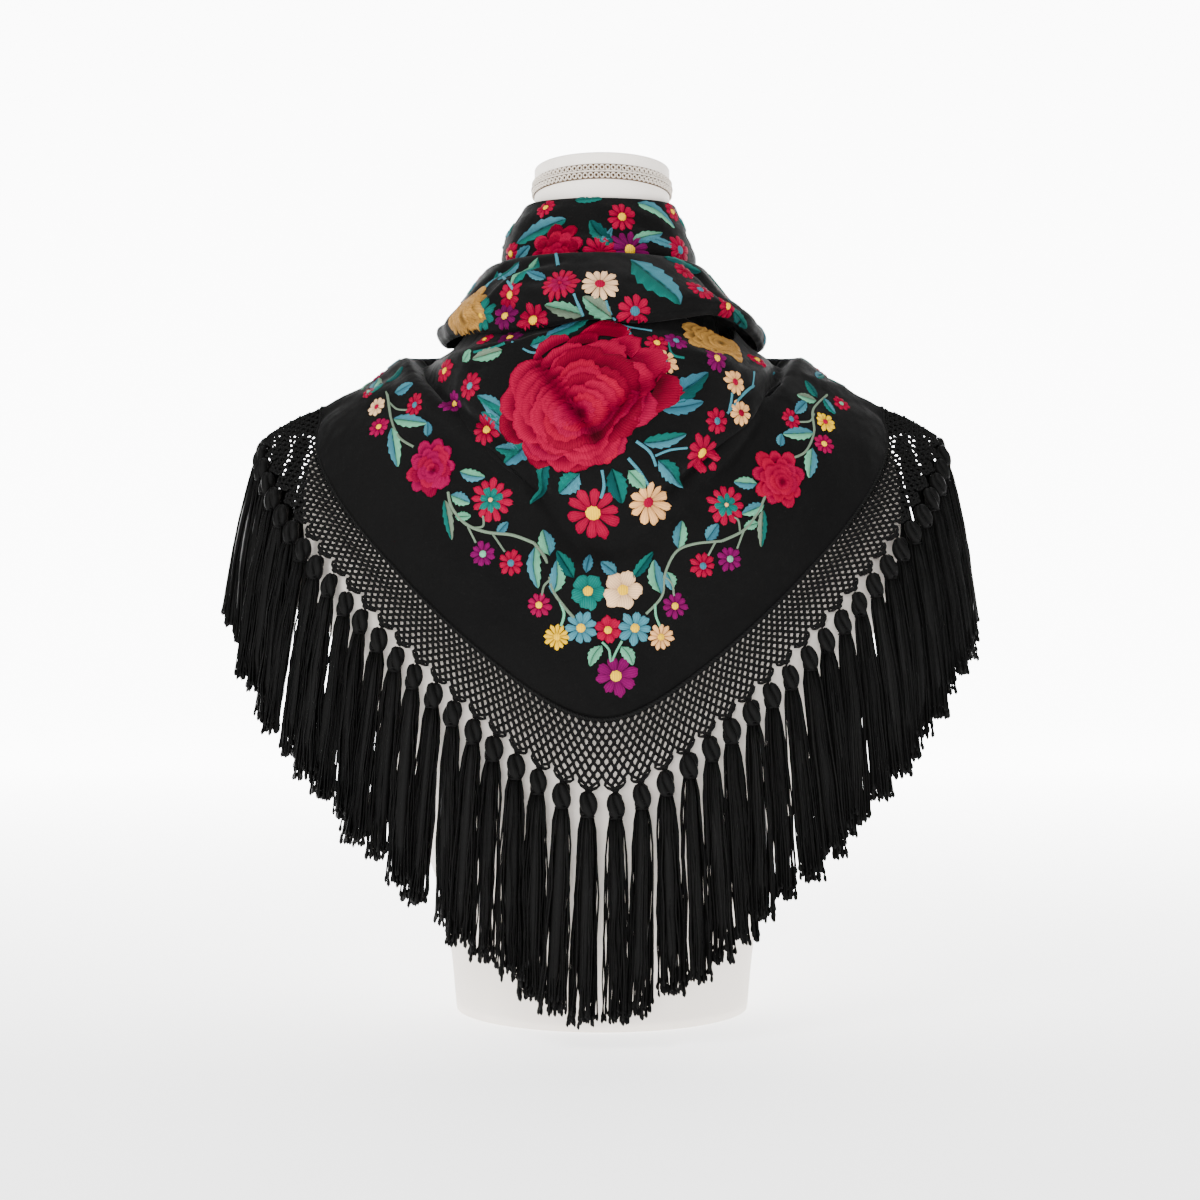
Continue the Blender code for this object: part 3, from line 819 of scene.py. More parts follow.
def petal(inner, outer, count, fill):
    """A satin-stitched petal: a low dome whose threads run from the flower's heart to a blunt, ragged end."""
    t = np.array(PETAL_OUT)[:, None]
    s = np.array(PETAL_ACROSS)[None, :]
    broad = min(1.0, 6 / count) ** 2
    wedge = (inner + (outer - inner) * t) * np.tan(np.pi / count)
    oval = 0.74 * outer * np.tan(np.pi / count) * np.sin(np.pi * (0.12 + 0.70 * t))
    half_width = fill * (wedge * (1 - 0.6 * broad) + oval * 0.6 * broad)
    across = s * half_width * (1 - 0.42 * np.maximum(0, (t - 0.72) / 0.28) ** 2)
    ragged = (0.11 + 0.16 * broad) * (chance.random((1, 7)) - 0.5) * t**4
    upwards = inner + (outer - inner) * (t - 0.14 * np.abs(s) ** 2.5 * t**3 + ragged)
    dome = (1 - s**6) * (1 - t**12) * np.minimum(1, 0.35 + t / 0.2)
    lift = STITCH_LOW + (STITCH_HIGH - STITCH_LOW) * dome
    runs = np.stack([across / MM, upwards / MM], axis=-1)
    # Painted shade: darker near the heart and along the sides, where the petals meet.
    shade = (0.62 + 0.38 * np.minimum(1, t / 0.5)) * (1 - 0.30 * s**6)
    return across, upwards, lift, runs, shade


def stitch_petals(bundle, cloth, spot, count, inner, outer, colour, start, fill=1.0, rise=0.0):
    for index in range(count):
        reach = outer * (1 + PETAL_UNEVEN * (chance.random() * 2 - 1))
        full = fill * (0.86 + 0.12 * chance.random())
        across, upwards, lift, runs, shade = petal(inner, reach, count, full)
        angle = start + 2 * np.pi * (index + 0.16 * (chance.random() - 0.5)) / count
        across, upwards = turned(across, upwards, angle)
        points, found = cloth.lay(spot, across, upwards, lift + rise)
        bundle.patch(points, runs, tinted(colour) * shade[..., None] * cloth.painted_crease_shade(points), found)


def stitch_heart(bundle, cloth, spot, radius, colour, rise=0.0):
    """The raised knot of thread in the middle of a flower."""
    share = np.array(HEART_OUT)[:, None]
    angle = np.linspace(0, 2 * np.pi, 11)[None, :]
    across, upwards = radius * share * np.sin(angle), radius * share * np.cos(angle)
    lift = rise + STITCH_LOW + (STITCH_HIGH * 1.7 - STITCH_LOW) * (1 - share**4) + 0 * angle
    points, found = cloth.lay(spot, across, upwards, lift)
    bundle.patch(points, np.stack([across / MM, upwards / MM], axis=-1), tinted(colour), found)


def stitch_flower(bundle, cloth, point, radius, petals, colour, heart, inner=None):
    spot = cloth.spot(point)
    start = chance.random() * np.pi
    stitch_petals(bundle, cloth, spot, petals, radius * 0.20, radius, colour, start)
    if inner:
        heart_side, reach = radius * 0.06, radius * 0.60
        stitch_petals(bundle, cloth, spot, INNER_PETALS, heart_side, reach, inner, start + 0.3, 0.95, 0.0006)
    stitch_heart(bundle, cloth, spot, radius * (0.12 if inner else 0.30), heart, 0.0007 if inner else 0.0002)


def stitch_rose(bundle, cloth, point, width, height, layers, colours, start):
    """Layers of broad petals with scalloped edges, each on the one outside it and a little off its middle."""
    spot = cloth.spot(point)
    t = np.array(ROSE_OUT)[:, None]
    s = np.linspace(-1, 1, 17)[None, :]
    for layer in range(layers):
        outer = 1.0 - 0.90 * layer / layers
        inner = max(0.0, outer - 2.3 / layers)
        count = max(3, round(9 * outer**0.6))
        rise = ROSE_RISE * layer
        slip = ROSE_DRIFT * (1 - outer)
        rounding, overlap = (0.34, 1.12) if layer < LOBED_LAYERS else (0.20, 1.30)
        for index in chance.permutation(count):
            middle = start + layer * 0.85 + 2 * np.pi * (index + 0.5 * (chance.random() - 0.5)) / count
            reach = outer * (1 + 0.10 * (chance.random() * 2 - 1))
            scallops = 0.034 * np.abs(np.sin(np.pi * (s * 2.5 + chance.random())))
            edge = reach * (1 - rounding * np.abs(s) ** 2.2) + scallops - 0.02
            radial = inner + (edge - inner) * t
            spread = overlap * np.pi / count
            angle = middle + s * spread
            across = width * (radial * np.sin(angle) + slip * 0.6)
            upwards = height * (radial * np.cos(angle) - slip)
            fold = 1 - t**14
            lift = rise + 0.0008 + (0.0011 * t**1.5 * fold - 0.0008 * (1 - fold)) * (1 - 0.6 * s**8)
            lift = lift + 0.00025 * chance.random()
            points, found = cloth.lay(spot, across, upwards, lift)
            around = s * spread * outer * width / MM + 0 * t
            runs = np.stack([around, radial * height / MM + 0 * s], axis=-1)
            tone = THREADS[colours[chance.integers(len(colours))]] * (0.86 + 0.22 * chance.random())
            # Painted shade: darker on the inner part, under the layer above, and where the edge folds down.
            shade = 0.42 + 0.58 * np.clip((t - 0.2) / 0.5, 0, 1) - 0.20 * (1 - fold) + 0 * s
            bundle.patch(points, runs, tone * shade[..., None] * cloth.painted_crease_shade(points), found)


def stitch_leaf(bundle, cloth, base, tip, width, near, far, bend):
    """A leaf from its base to its tip: two halves in slanting stitches, a toothed edge and a sunk midrib."""
    middle = (base + tip) / 2
    spot = cloth.spot(middle, tip - base)
    long = np.linalg.norm(tip - base)
    width = width * LEAF_FULLNESS
    t = np.linspace(0, 1, 4 * LEAF_TEETH + 1)[:, None]
    s = np.array(LEAF_ACROSS)[None, :]
    tooth = 1 - (LEAF_TEETH * t) % 1.0
    outline = np.sin(np.pi * (0.03 + 0.97 * t) ** 0.82) ** 0.72 * (1.10 - 0.30 * tooth * (t < 0.93)) + 0.03
    lift = STITCH_HIGH * np.array(LEAF_LIFT)[None, :] + 0 * t
    for side, colour in ((-1, near), (1, far)):
        across = side * s * outline * width / 2 + bend * np.sin(np.pi * t)
        upwards = long * (t - 0.5) + 0.16 * width * s * (1 - t)
        points, found = cloth.lay(spot, across, upwards, lift)
        runs = np.stack([(t * long - s * width * 0.45) / MM, s * width / 2 / MM + 0 * t], axis=-1)
        # Painted shade along the sunk midrib.
        shade = 0.62 + 0.38 * np.minimum(1, s / 0.4) + 0 * t
        bundle.patch(points, runs, tinted(colour) * shade[..., None] * cloth.painted_crease_shade(points), found)


def stitch_stem(bundle, cloth, points, width, colour):
    """A stem in slanting stitches, a little raised."""
    line = smooth(np.array(points), np.linspace(0, len(points) - 1, STEM_STEPS * len(points)))
    normals = np.array([cloth.normal_at(point) for point in line])
    side = unit(np.cross(np.gradient(line, axis=0), normals))
    s = np.array(STEM_ACROSS)
    lift = np.array([STITCH_LOW, STITCH_HIGH * 0.9, STITCH_HIGH * 0.9, STITCH_LOW])
    laid = line[:, None] + side[:, None] * (s * width / 2)[:, None] + normals[:, None] * lift[:, None]
    travelled = np.cumsum(np.linalg.norm(np.diff(line, axis=0, prepend=line[:1]), axis=1)) / MM
    runs = np.stack([travelled[:, None] * 0.9 + s * 1.1, np.broadcast_to(s, (len(line), 4))], axis=-1)
    bundle.patch(laid, runs, tinted(colour))


# Photo places are where a motif's middle shows. Sizes are real ones, on the cloth.
Flower = namedtuple("Flower", "cloth photo_x photo_y radius_mm petals colour heart inner", defaults=(None,))
FLOWERS = [
    # border, wearer's right
    Flower("front", 377, 407, 8.5, 9, "cream", "crimson"),
    Flower("front", 379, 427, 9.0, 9, "cerise", "yellow"),
    Flower("front", 415, 405, 9.5, 9, "crimson", "slate"),
    Flower("front", 369, 392, 6.5, 8, "crimson", "mint"),
    Flower("front", 491, 500, 16.5, 12, "crimson", "peach", "teal"),
    Flower("front", 483, 554, 10.0, 9, "purple", "mint"),
    Flower("front", 511, 563, 10.0, 9, "crimson", "slate"),
    # the point
    Flower("front", 588, 591, 13.5, 5, "teal", "yellow"),
    Flower("front", 623, 590, 15.0, 5, "cream", "yellow"),
    Flower("front", 539, 605, 9.5, 9, "cerise", "yellow"),
    Flower("front", 557, 637, 9.6, 12, "yellow", "yellow"),
    Flower("front", 581, 628, 12.3, 9, "blue", "yellow"),
    Flower("front", 608, 630, 10.8, 6, "crimson", "yellow"),
    Flower("front", 635, 628, 12.3, 8, "blue", "yellow"),
    Flower("front", 661, 637, 9.6, 11, "peach", "yellow"),
    Flower("front", 675, 606, 9.8, 9, "purple", "yellow"),
    Flower("front", 616, 676, 15.5, 8, "purple", "yellow"),
    # border, wearer's left
    Flower("front", 703, 566, 9.8, 9, "crimson", "slate"),
    Flower("front", 730, 559, 9.6, 9, "purple", "mint"),
    Flower("front", 726, 505, 15.5, 11, "crimson", "peach", "teal"),
    Flower("front", 824, 444, 9.0, 9, "cerise", "yellow"),
    Flower("front", 825, 422, 9.0, 9, "yellow", "crimson"),
    Flower("front", 791, 419, 9.0, 9, "crimson", "slate"),
    Flower("front", 841, 404, 8.0, 8, "crimson", "mint"),
    # cowl
    Flower("front", 593, 513, 20.5, 10, "crimson", "yellow"),
    Flower("front", 648, 502, 15.5, 11, "peach", "crimson"),
    Flower("front", 702, 453, 14.5, 9, "crimson", "yellow"),
    Flower("front", 717, 421, 10.5, 8, "crimson", "slate"),
    Flower("front", 741, 413, 10.5, 9, "peach", "deep_crimson"),
    Flower("front", 735, 382, 10.5, 9, "peach", "crimson"),
    Flower("front", 757, 360, 9.5, 8, "crimson", "yellow"),
    Flower("front", 717, 358, 10.0, 9, "purple", "yellow"),
    Flower("front", 664, 362, 11.0, 10, "peach", "blue"),
    Flower("front", 657, 343, 9.5, 8, "crimson", "yellow"),
    Flower("front", 445, 371, 10.5, 9, "crimson", "yellow"),
    Flower("front", 470, 386, 10.8, 9, "crimson", "blue"),
    Flower("front", 455, 404, 9.5, 8, "purple", "yellow"),
    Flower("front", 487, 430, 11.5, 10, "crimson", "yellow"),
    # lower wrap
    Flower("lower", 560, 284, 15.0, 14, "crimson", "scarlet", "cerise"),
    Flower("lower", 600, 284, 15.0, 12, "cream", "crimson"),
    Flower("lower", 700, 290, 11.5, 10, "crimson", "slate"),
    Flower("lower", 635, 311, 13.5, 9, "crimson", "slate"),
    Flower("lower", 510, 295, 11.0, 9, "crimson", "yellow"),
    Flower("lower", 533, 320, 13.0, 9, "crimson", "yellow"),
    Flower("lower", 505, 316, 10.5, 8, "purple", "yellow"),
    Flower("lower", 482, 315, 12.0, 8, "teal", "yellow"),
    Flower("lower", 728, 306, 9.0, 9, "crimson", "yellow"),
    Flower("lower", 684, 271, 9.5, 8, "crimson", "deep_crimson"),
    Flower("lower", 716, 283, 8.0, 8, "crimson", "yellow"),
    # upper wrap
    Flower("upper", 622, 217, 12.0, 10, "crimson", "yellow"),
    Flower("upper", 630, 250, 16.0, 12, "purple", "yellow"),
    Flower("upper", 680, 250, 13.0, 9, "crimson", "slate"),
    Flower("upper", 511, 254, 10.0, 9, "crimson", "yellow"),
    Flower("upper", 672, 212, 9.0, 9, "crimson", "yellow"),
    Flower("upper", 600, 252, 13.0, 10, "crimson", "deep_crimson"),
    Flower("upper", 546, 208, 9.0, 9, "crimson", "yellow"),
    # in the pockets
    Flower("front", 510, 338, 10.5, 8, "plum", "yellow"),
    Flower("front", 485, 340, 7.5, 8, "crimson", "yellow"),
    Flower("front", 676, 341, 9.5, 8, "purple", "blue"),
]

Leaf = namedtuple("Leaf", "cloth base_x base_y tip_x tip_y width_mm near far bend_mm", defaults=(0.0,))
LEAVES = [
    # border, wearer's right
    Leaf("front", 394, 419, 427, 423, 9.5, "blue", "mint"),
    Leaf("front", 392, 428, 398, 467, 10.5, "mint", "blue"),
    Leaf("front", 386, 383, 403, 367, 9.0, "teal", "deep_teal"),
    Leaf("front", 428, 437, 428, 422, 7.0, "blue", "slate"),
    Leaf("front", 395, 393, 413, 384, 9.0, "blue", "slate"),
    Leaf("front", 384, 384, 366, 396, 7.0, "teal", "blue"),
    Leaf("front", 460, 472, 485, 477, 8.5, "mint", "blue", 1.0),
    Leaf("front", 451, 495, 470, 503, 9.0, "blue", "mint"),
    Leaf("front", 455, 517, 471, 516, 6.5, "mint", "mint"),
    Leaf("front", 445, 500, 452, 540, 7.0, "sage", "teal"),
    Leaf("front", 497, 534, 508, 522, 6.5, "blue", "slate"),
    # round the point
    Leaf("front", 550, 556, 543, 530, 11.0, "mint", "blue"),
    Leaf("front", 535, 547, 538, 588, 9.5, "mint", "blue", 1.5),
    Leaf("front", 553, 594, 557, 561, 10.5, "blue", "mint", 2.0),
    Leaf("front", 574, 578, 557, 551, 9.5, "deep_teal", "teal"),
    Leaf("front", 586, 573, 590, 555, 6.5, "slate", "slate"),
    Leaf("front", 617, 574, 601, 562, 8.5, "slate", "blue"),
    Leaf("front", 633, 578, 653, 552, 7.0, "teal", "deep_teal"),
    Leaf("front", 661, 594, 654, 560, 10.5, "mint", "blue", -1.5),
    Leaf("front", 666, 571, 672, 590, 8.5, "mint", "blue", -1.0),
    Leaf("front", 678, 549, 682, 521, 9.5, "blue", "mint"),
    Leaf("front", 602, 645, 590, 666, 8.0, "mint", "mint", 1.5),
    Leaf("front", 621, 646, 633, 665, 8.0, "mint", "mint", -1.5),
    # border, wearer's left
    Leaf("front", 706, 541, 718, 524, 9.0, "blue", "slate"),
    Leaf("front", 757, 484, 734, 482, 8.5, "blue", "mint"),
    Leaf("front", 764, 505, 742, 514, 8.5, "mint", "blue"),
    Leaf("front", 758, 523, 744, 527, 6.5, "mint", "mint"),
    Leaf("front", 763, 510, 761, 547, 7.0, "teal", "sage"),
    Leaf("front", 813, 433, 783, 434, 9.5, "mint", "blue"),
    Leaf("front", 812, 448, 809, 478, 10.5, "blue", "mint"),
    Leaf("front", 780, 447, 781, 434, 7.0, "blue", "slate"),
    Leaf("front", 817, 398, 805, 381, 9.0, "teal", "deep_teal"),
    Leaf("front", 816, 401, 797, 395, 7.5, "mint", "sage"),
    Leaf("front", 806, 402, 795, 413, 8.0, "blue", "slate"),
    Leaf("front", 823, 398, 835, 414, 8.0, "blue", "teal"),
    # cowl
    Leaf("front", 657, 404, 708, 373, 15.0, "slate", "deep_teal", 1.5),
    Leaf("front", 659, 408, 703, 402, 10.5, "slate", "slate", 1.5),
    Leaf("front", 643, 443, 686, 434, 9.5, "teal", "blue", 1.5),
    Leaf("front", 658, 460, 682, 487, 12.0, "teal", "blue", -1.0),
    Leaf("front", 628, 470, 645, 488, 10.0, "mint", "mint"),
    Leaf("front", 612, 468, 622, 503, 13.0, "teal", "deep_teal"),
    Leaf("front", 536, 440, 506, 463, 14.0, "slate", "teal", 1.0),
    Leaf("front", 520, 450, 496, 448, 9.0, "teal", "blue"),
    Leaf("front", 580, 473, 560, 493, 14.0, "blue", "teal"),
    Leaf("front", 546, 460, 534, 500, 10.0, "deep_teal", "teal"),
    Leaf("front", 512, 425, 483, 402, 10.5, "blue", "teal"),
    Leaf("front", 515, 436, 482, 412, 9.5, "slate", "teal"),
    Leaf("front", 502, 408, 478, 396, 8.5, "teal", "blue"),
    Leaf("front", 503, 350, 473, 359, 8.5, "mint", "sage"),
    Leaf("front", 545, 342, 592, 314, 13.0, "slate", "teal", -1.0),
    # lower wrap
    Leaf("lower", 630, 260, 680, 304, 27.0, "blue", "teal"),
    Leaf("lower", 538, 259, 512, 285, 12.0, "teal", "mint"),
    Leaf("lower", 546, 279, 527, 272, 7.0, "blue", "slate"),
    Leaf("lower", 583, 315, 545, 305, 10.0, "sage", "mint"),
    Leaf("lower", 612, 318, 583, 297, 13.0, "mint", "sage"),
    Leaf("lower", 664, 258, 700, 272, 9.0, "teal", "deep_teal"),
    Leaf("lower", 722, 276, 742, 300, 9.0, "teal", "blue"),
    Leaf("lower", 520, 262, 498, 280, 9.0, "blue", "teal"),
    Leaf("lower", 686, 318, 700, 306, 8.0, "teal", "teal"),
    Leaf("lower", 733, 310, 746, 328, 8.0, "teal", "deep_teal"),
    Leaf("lower", 498, 272, 482, 292, 7.5, "blue", "teal"),
    # upper wrap
    Leaf("upper", 612, 247, 590, 221, 12.0, "teal", "deep_teal"),
    Leaf("upper", 517, 244, 566, 219, 13.0, "blue", "teal", -1.0),
    Leaf("upper", 632, 241, 662, 233, 8.5, "mint", "blue", 1.0),
    Leaf("upper", 674, 247, 645, 238, 6.5, "blue", "blue"),
    Leaf("upper", 637, 203, 674, 228, 10.5, "blue", "mint", -4.0),
    Leaf("upper", 602, 243, 612, 228, 6.0, "blue", "blue"),
    Leaf("upper", 516, 262, 530, 246, 9.0, "slate", "blue"),
    Leaf("upper", 575, 201, 602, 199, 6.5, "teal", "teal"),
    # in the pockets
    Leaf("front", 463, 362, 471, 350, 7.0, "mint", "mint"),
    Leaf("front", 530, 346, 556, 338, 9.0, "teal", "blue"),
]

Stem = namedtuple("Stem", "cloth width_mm colour path")
STEMS = [
    Stem("front", 2.2, "sage", [(380, 380), (387, 394), (391, 418), (399, 437), (414, 447)]),
    Stem("front", 1.7, "sage", [(389, 402), (397, 409), (408, 410)]),
    Stem("front", 2.6, "sage", [(448, 492), (452, 508), (466, 524), (486, 532), (512, 535), (534, 543)]),
    Stem("front", 2.6, "sage", [(534, 543), (546, 560), (552, 588), (562, 604), (574, 618)]),
    Stem("front", 2.0, "sage", [(483, 516), (483, 526), (473, 528)]),
    Stem("front", 1.8, "sage", [(468, 527), (476, 543)]),
    Stem("front", 1.8, "sage", [(492, 533), (505, 552)]),
    Stem("front", 1.9, "sage", [(550, 580), (544, 586), (542, 596)]),
    Stem("front", 2.2, "mint", [(560, 602), (564, 614), (561, 626)]),
    Stem("front", 2.2, "sage", [(646, 614), (662, 596), (665, 574), (676, 552), (694, 544), (722, 541)]),
    Stem("front", 2.4, "sage", [(722, 541), (744, 530), (758, 512), (766, 494)]),
    Stem("front", 1.9, "sage", [(665, 577), (672, 584), (674, 596)]),
    Stem("front", 2.0, "mint", [(655, 604), (656, 616), (660, 626)]),
    Stem("front", 2.0, "mint", [(602, 642), (609, 650), (611, 662), (616, 652), (622, 641)]),
    Stem("front", 1.8, "sage", [(740, 531), (738, 520), (731, 517)]),
    Stem("front", 1.8, "sage", [(716, 541), (708, 556)]),
    Stem("front", 1.8, "sage", [(744, 530), (737, 549)]),
    Stem("front", 2.2, "sage", [(793, 458), (806, 451), (814, 432), (813, 410), (827, 395)]),
    Stem("front", 1.7, "sage", [(814, 414), (810, 421), (799, 422)]),
    Stem("front", 2.6, "blue", [(636, 441), (650, 452), (656, 466)]),
    Stem("front", 2.0, "blue", [(655, 456), (670, 450), (687, 448)]),
    Stem("front", 2.4, "blue", [(727, 414), (740, 398), (752, 387), (774, 373)]),
    Stem("front", 2.4, "blue", [(729, 411), (731, 402), (732, 393)]),
    Stem("front", 2.0, "blue", [(752, 388), (754, 372)]),
    Stem("front", 2.6, "blue", [(628, 458), (640, 472), (650, 488)]),
    Stem("front", 2.6, "blue", [(602, 470), (604, 486), (601, 498)]),
    Stem("front", 2.4, "blue", [(556, 455), (546, 462), (541, 480)]),
    Stem("front", 1.8, "blue", [(597, 317), (624, 326), (652, 331)]),
    Stem("front", 2.6, "blue", [(624, 326), (630, 334), (624, 343)]),
    Stem("front", 2.2, "teal", [(668, 340), (672, 354), (684, 358)]),
    Stem("lower", 2.8, "blue", [(556, 254), (558, 266)]),
    Stem("lower", 4.2, "blue", [(576, 252), (576, 262), (578, 271)]),
    Stem("lower", 2.6, "blue", [(574, 294), (578, 304), (583, 316)]),
    Stem("lower", 2.4, "blue", [(606, 301), (609, 310), (615, 320)]),
    Stem("lower", 2.4, "blue", [(500, 274), (508, 282), (513, 290)]),
    Stem("lower", 2.8, "blue", [(704, 303), (705, 314), (709, 324)]),
    Stem("lower", 2.2, "blue", [(724, 306), (714, 313), (707, 319)]),
    Stem("front", 2.0, "teal", [(474, 352), (492, 348), (505, 343)]),
    Stem("front", 2.0, "blue", [(512, 342), (530, 352), (545, 352)]),
]

Rose = namedtuple("Rose", "cloth photo_x photo_y width_mm height_mm layers colours turn")
ROSES = [
    Rose(
        "front", 576, 399, 109, 111, 11,
        ("crimson", "scarlet", "crimson", "rose_pink", "crimson", "deep_crimson", "crimson"), 0.3,
    ),
    Rose("front", 432, 467, 45, 46, 5, ("cerise", "cerise", "rose_pink", "cerise", "wine"), 0.9),
    Rose("front", 778, 478, 46, 46, 5, ("crimson", "crimson", "rose_pink", "crimson", "scarlet"), 0.1),
    Rose("upper", 557, 252, 46, 46, 5, ("crimson", "scarlet", "crimson", "deep_crimson", "crimson"), 0.5),
    Rose("lower", 464, 312, 44, 50, 5, ("tan", "tan", "tan"), 0.2),
    Rose("front", 714, 341, 66, 44, 6, ("tan", "tan", "tan"), 0.7),
]

# Sprigs on the stretches that the picture hides: a flower with leaves and a curved stem.
Sprig = namedtuple("Sprig", "cloth degrees level radius_mm colour heart leaf_near leaf_far lean")
HIDDEN_SPRIGS = [
    Sprig("front", 92, 8.0, 9.0, "crimson", "yellow", "teal", "blue", 60),
    Sprig("front", -92, 8.2, 9.0, "cerise", "yellow", "mint", "blue", -60),
    Sprig("left_back", 103, 9.0, 13.0, "crimson", "yellow", "mint", "blue", 80),
    Sprig("left_back", 114, 10.0, 9.5, "blue", "yellow", "mint", "teal", 110),
    Sprig("left_back", 126, 8.8, 12.0, "cerise", "yellow", "teal", "blue", 80),
    Sprig("left_back", 138, 10.0, 9.0, "yellow", "crimson", "mint", "blue", 100),
    Sprig("left_back", 150, 8.9, 12.5, "crimson", "slate", "mint", "teal", 80),
    Sprig("left_back", 163, 10.0, 9.5, "purple", "yellow", "blue", "mint", 100),
    Sprig("right_back", -102, 9.0, 12.5, "cerise", "yellow", "mint", "blue", -80),
    Sprig("right_back", -115, 10.0, 9.5, "peach", "crimson", "mint", "teal", -110),
    Sprig("right_back", -127, 8.9, 12.5, "crimson", "yellow", "teal", "blue", -80),
    Sprig("right_back", -140, 10.0, 9.0, "purple", "yellow", "mint", "blue", -100),
    Sprig("right_back", -152, 8.9, 12.0, "crimson", "slate", "mint", "teal", -80),
    Sprig("right_back", -165, 10.0, 9.5, "blue", "yellow", "blue", "mint", -100),
    Sprig("lower", 78, 3.0, 14.0, "crimson", "yellow", "teal", "blue", 30),
    Sprig("lower", 104, 2.0, 11.0, "peach", "crimson", "mint", "blue", -40),
    Sprig("lower", 132, 3.2, 15.0, "cerise", "yellow", "teal", "blue", 60),
    Sprig("lower", 162, 2.0, 12.0, "crimson", "slate", "mint", "teal", -20),
    Sprig("lower", -170, 3.3, 14.0, "purple", "yellow", "teal", "blue", 40),
    Sprig("lower", -140, 2.2, 13.0, "crimson", "yellow", "mint", "blue", -60),
    Sprig("lower", -110, 3.3, 13.0, "blue", "yellow", "teal", "mint", 20),
    Sprig("lower", -84, 2.0, 11.0, "crimson", "slate", "blue", "teal", -30),
    Sprig("upper", 96, 2.7, 12.0, "crimson", "yellow", "teal", "blue", 40),
    Sprig("upper", 140, 3.2, 11.0, "peach", "crimson", "mint", "blue", -50),
    Sprig("upper", 176, 2.6, 13.0, "crimson", "slate", "teal", "blue", 30),
    Sprig("upper", -140, 3.2, 11.0, "purple", "yellow", "mint", "blue", 60),
    Sprig("upper", -100, 2.6, 12.0, "crimson", "yellow", "teal", "blue", -40),
]
SPRIG_STEM = 0.0022
SPRIG_BEND = 0.001
SPRIG_PETALS = 9


def stitch_sprig(bundle, cloth, sprig):
    middle = cloth.at(sprig.degrees, sprig.level)
    radius = sprig.radius_mm * MM
    spot = cloth.spot(middle)
    lean = np.radians(sprig.lean)

    def beside(turn, far):
        way = spot.right * np.sin(lean + turn) + spot.up * np.cos(lean + turn)
        places = [np.array([[axis @ way * far]]) for axis in (spot.right, spot.up)]
        points, found = cloth.lay(spot, *places, np.zeros((1, 1)))
        near = found[0, 0] and np.linalg.norm(points[0, 0] - middle) < 2 * far
        return points[0, 0] if near else None

    stem = [beside(2.9, radius * 2.6), beside(3.3, radius * 1.5), middle]
    if all(place is not None for place in stem):
        stitch_stem(bundle, cloth, stem, SPRIG_STEM, sprig.leaf_near)
    for turn, size in ((0.5, 1.0), (-0.9, 0.85), (2.2, 1.1), (-2.3, 0.9)):
        base, tip = beside(turn, radius * 0.9), beside(turn + 0.25, radius * (0.9 + 1.7 * size))
        width = radius * 0.85 * size
        if base is not None and tip is not None:
            stitch_leaf(bundle, cloth, base, tip, width, sprig.leaf_near, sprig.leaf_far, SPRIG_BEND)
    stitch_flower(bundle, cloth, middle, radius, SPRIG_PETALS, sprig.colour, sprig.heart)


def stitch_all(cloths, material):
    """Every flower, leaf and stem, as one piece for each cloth that they are sewn to."""
    bundles = {name: Bundle() for name in cloths}
    for stem in STEMS:
        cloth = cloths[stem.cloth]
        places = [cloth.seen(*place) for place in stem.path]
        if all(place is not None for place in places):
            stitch_stem(bundles[stem.cloth], cloth, places, stem.width_mm * MM, stem.colour)
    for leaf in LEAVES:
        cloth = cloths[leaf.cloth]
        base, tip = cloth.seen(leaf.base_x, leaf.base_y), cloth.seen(leaf.tip_x, leaf.tip_y)
        width, bend = leaf.width_mm * MM, leaf.bend_mm * MM
        if base is not None and tip is not None:
            stitch_leaf(bundles[leaf.cloth], cloth, base, tip, width, leaf.near, leaf.far, bend)
    for sprig in HIDDEN_SPRIGS:
        stitch_sprig(bundles[sprig.cloth], cloths[sprig.cloth], sprig)
    for rose in ROSES:
        cloth = cloths[rose.cloth]
        point = cloth.seen(rose.photo_x, rose.photo_y)
        half = rose.width_mm * MM / 2, rose.height_mm * MM / 2
        if point is not None:
            stitch_rose(bundles[rose.cloth], cloth, point, *half, rose.layers, rose.colours, rose.turn)
    for flower in FLOWERS:
        cloth = cloths[flower.cloth]
        point = cloth.seen(flower.photo_x, flower.photo_y)
        if point is not None:
            stitch_flower(
                bundles[flower.cloth], cloth, point, flower.radius_mm * MM,
                flower.petals, flower.colour, flower.heart, flower.inner,
            )
    return {
        name: bundle.make(f"embroidery_{name}", material, "black_crepe")
        for name, bundle in bundles.items()
        if bundle.points
    }


# ---------------------------------------------------------------- cloth and its creases

Crease = namedtuple("Crease", "cloth width_mm height_mm path")
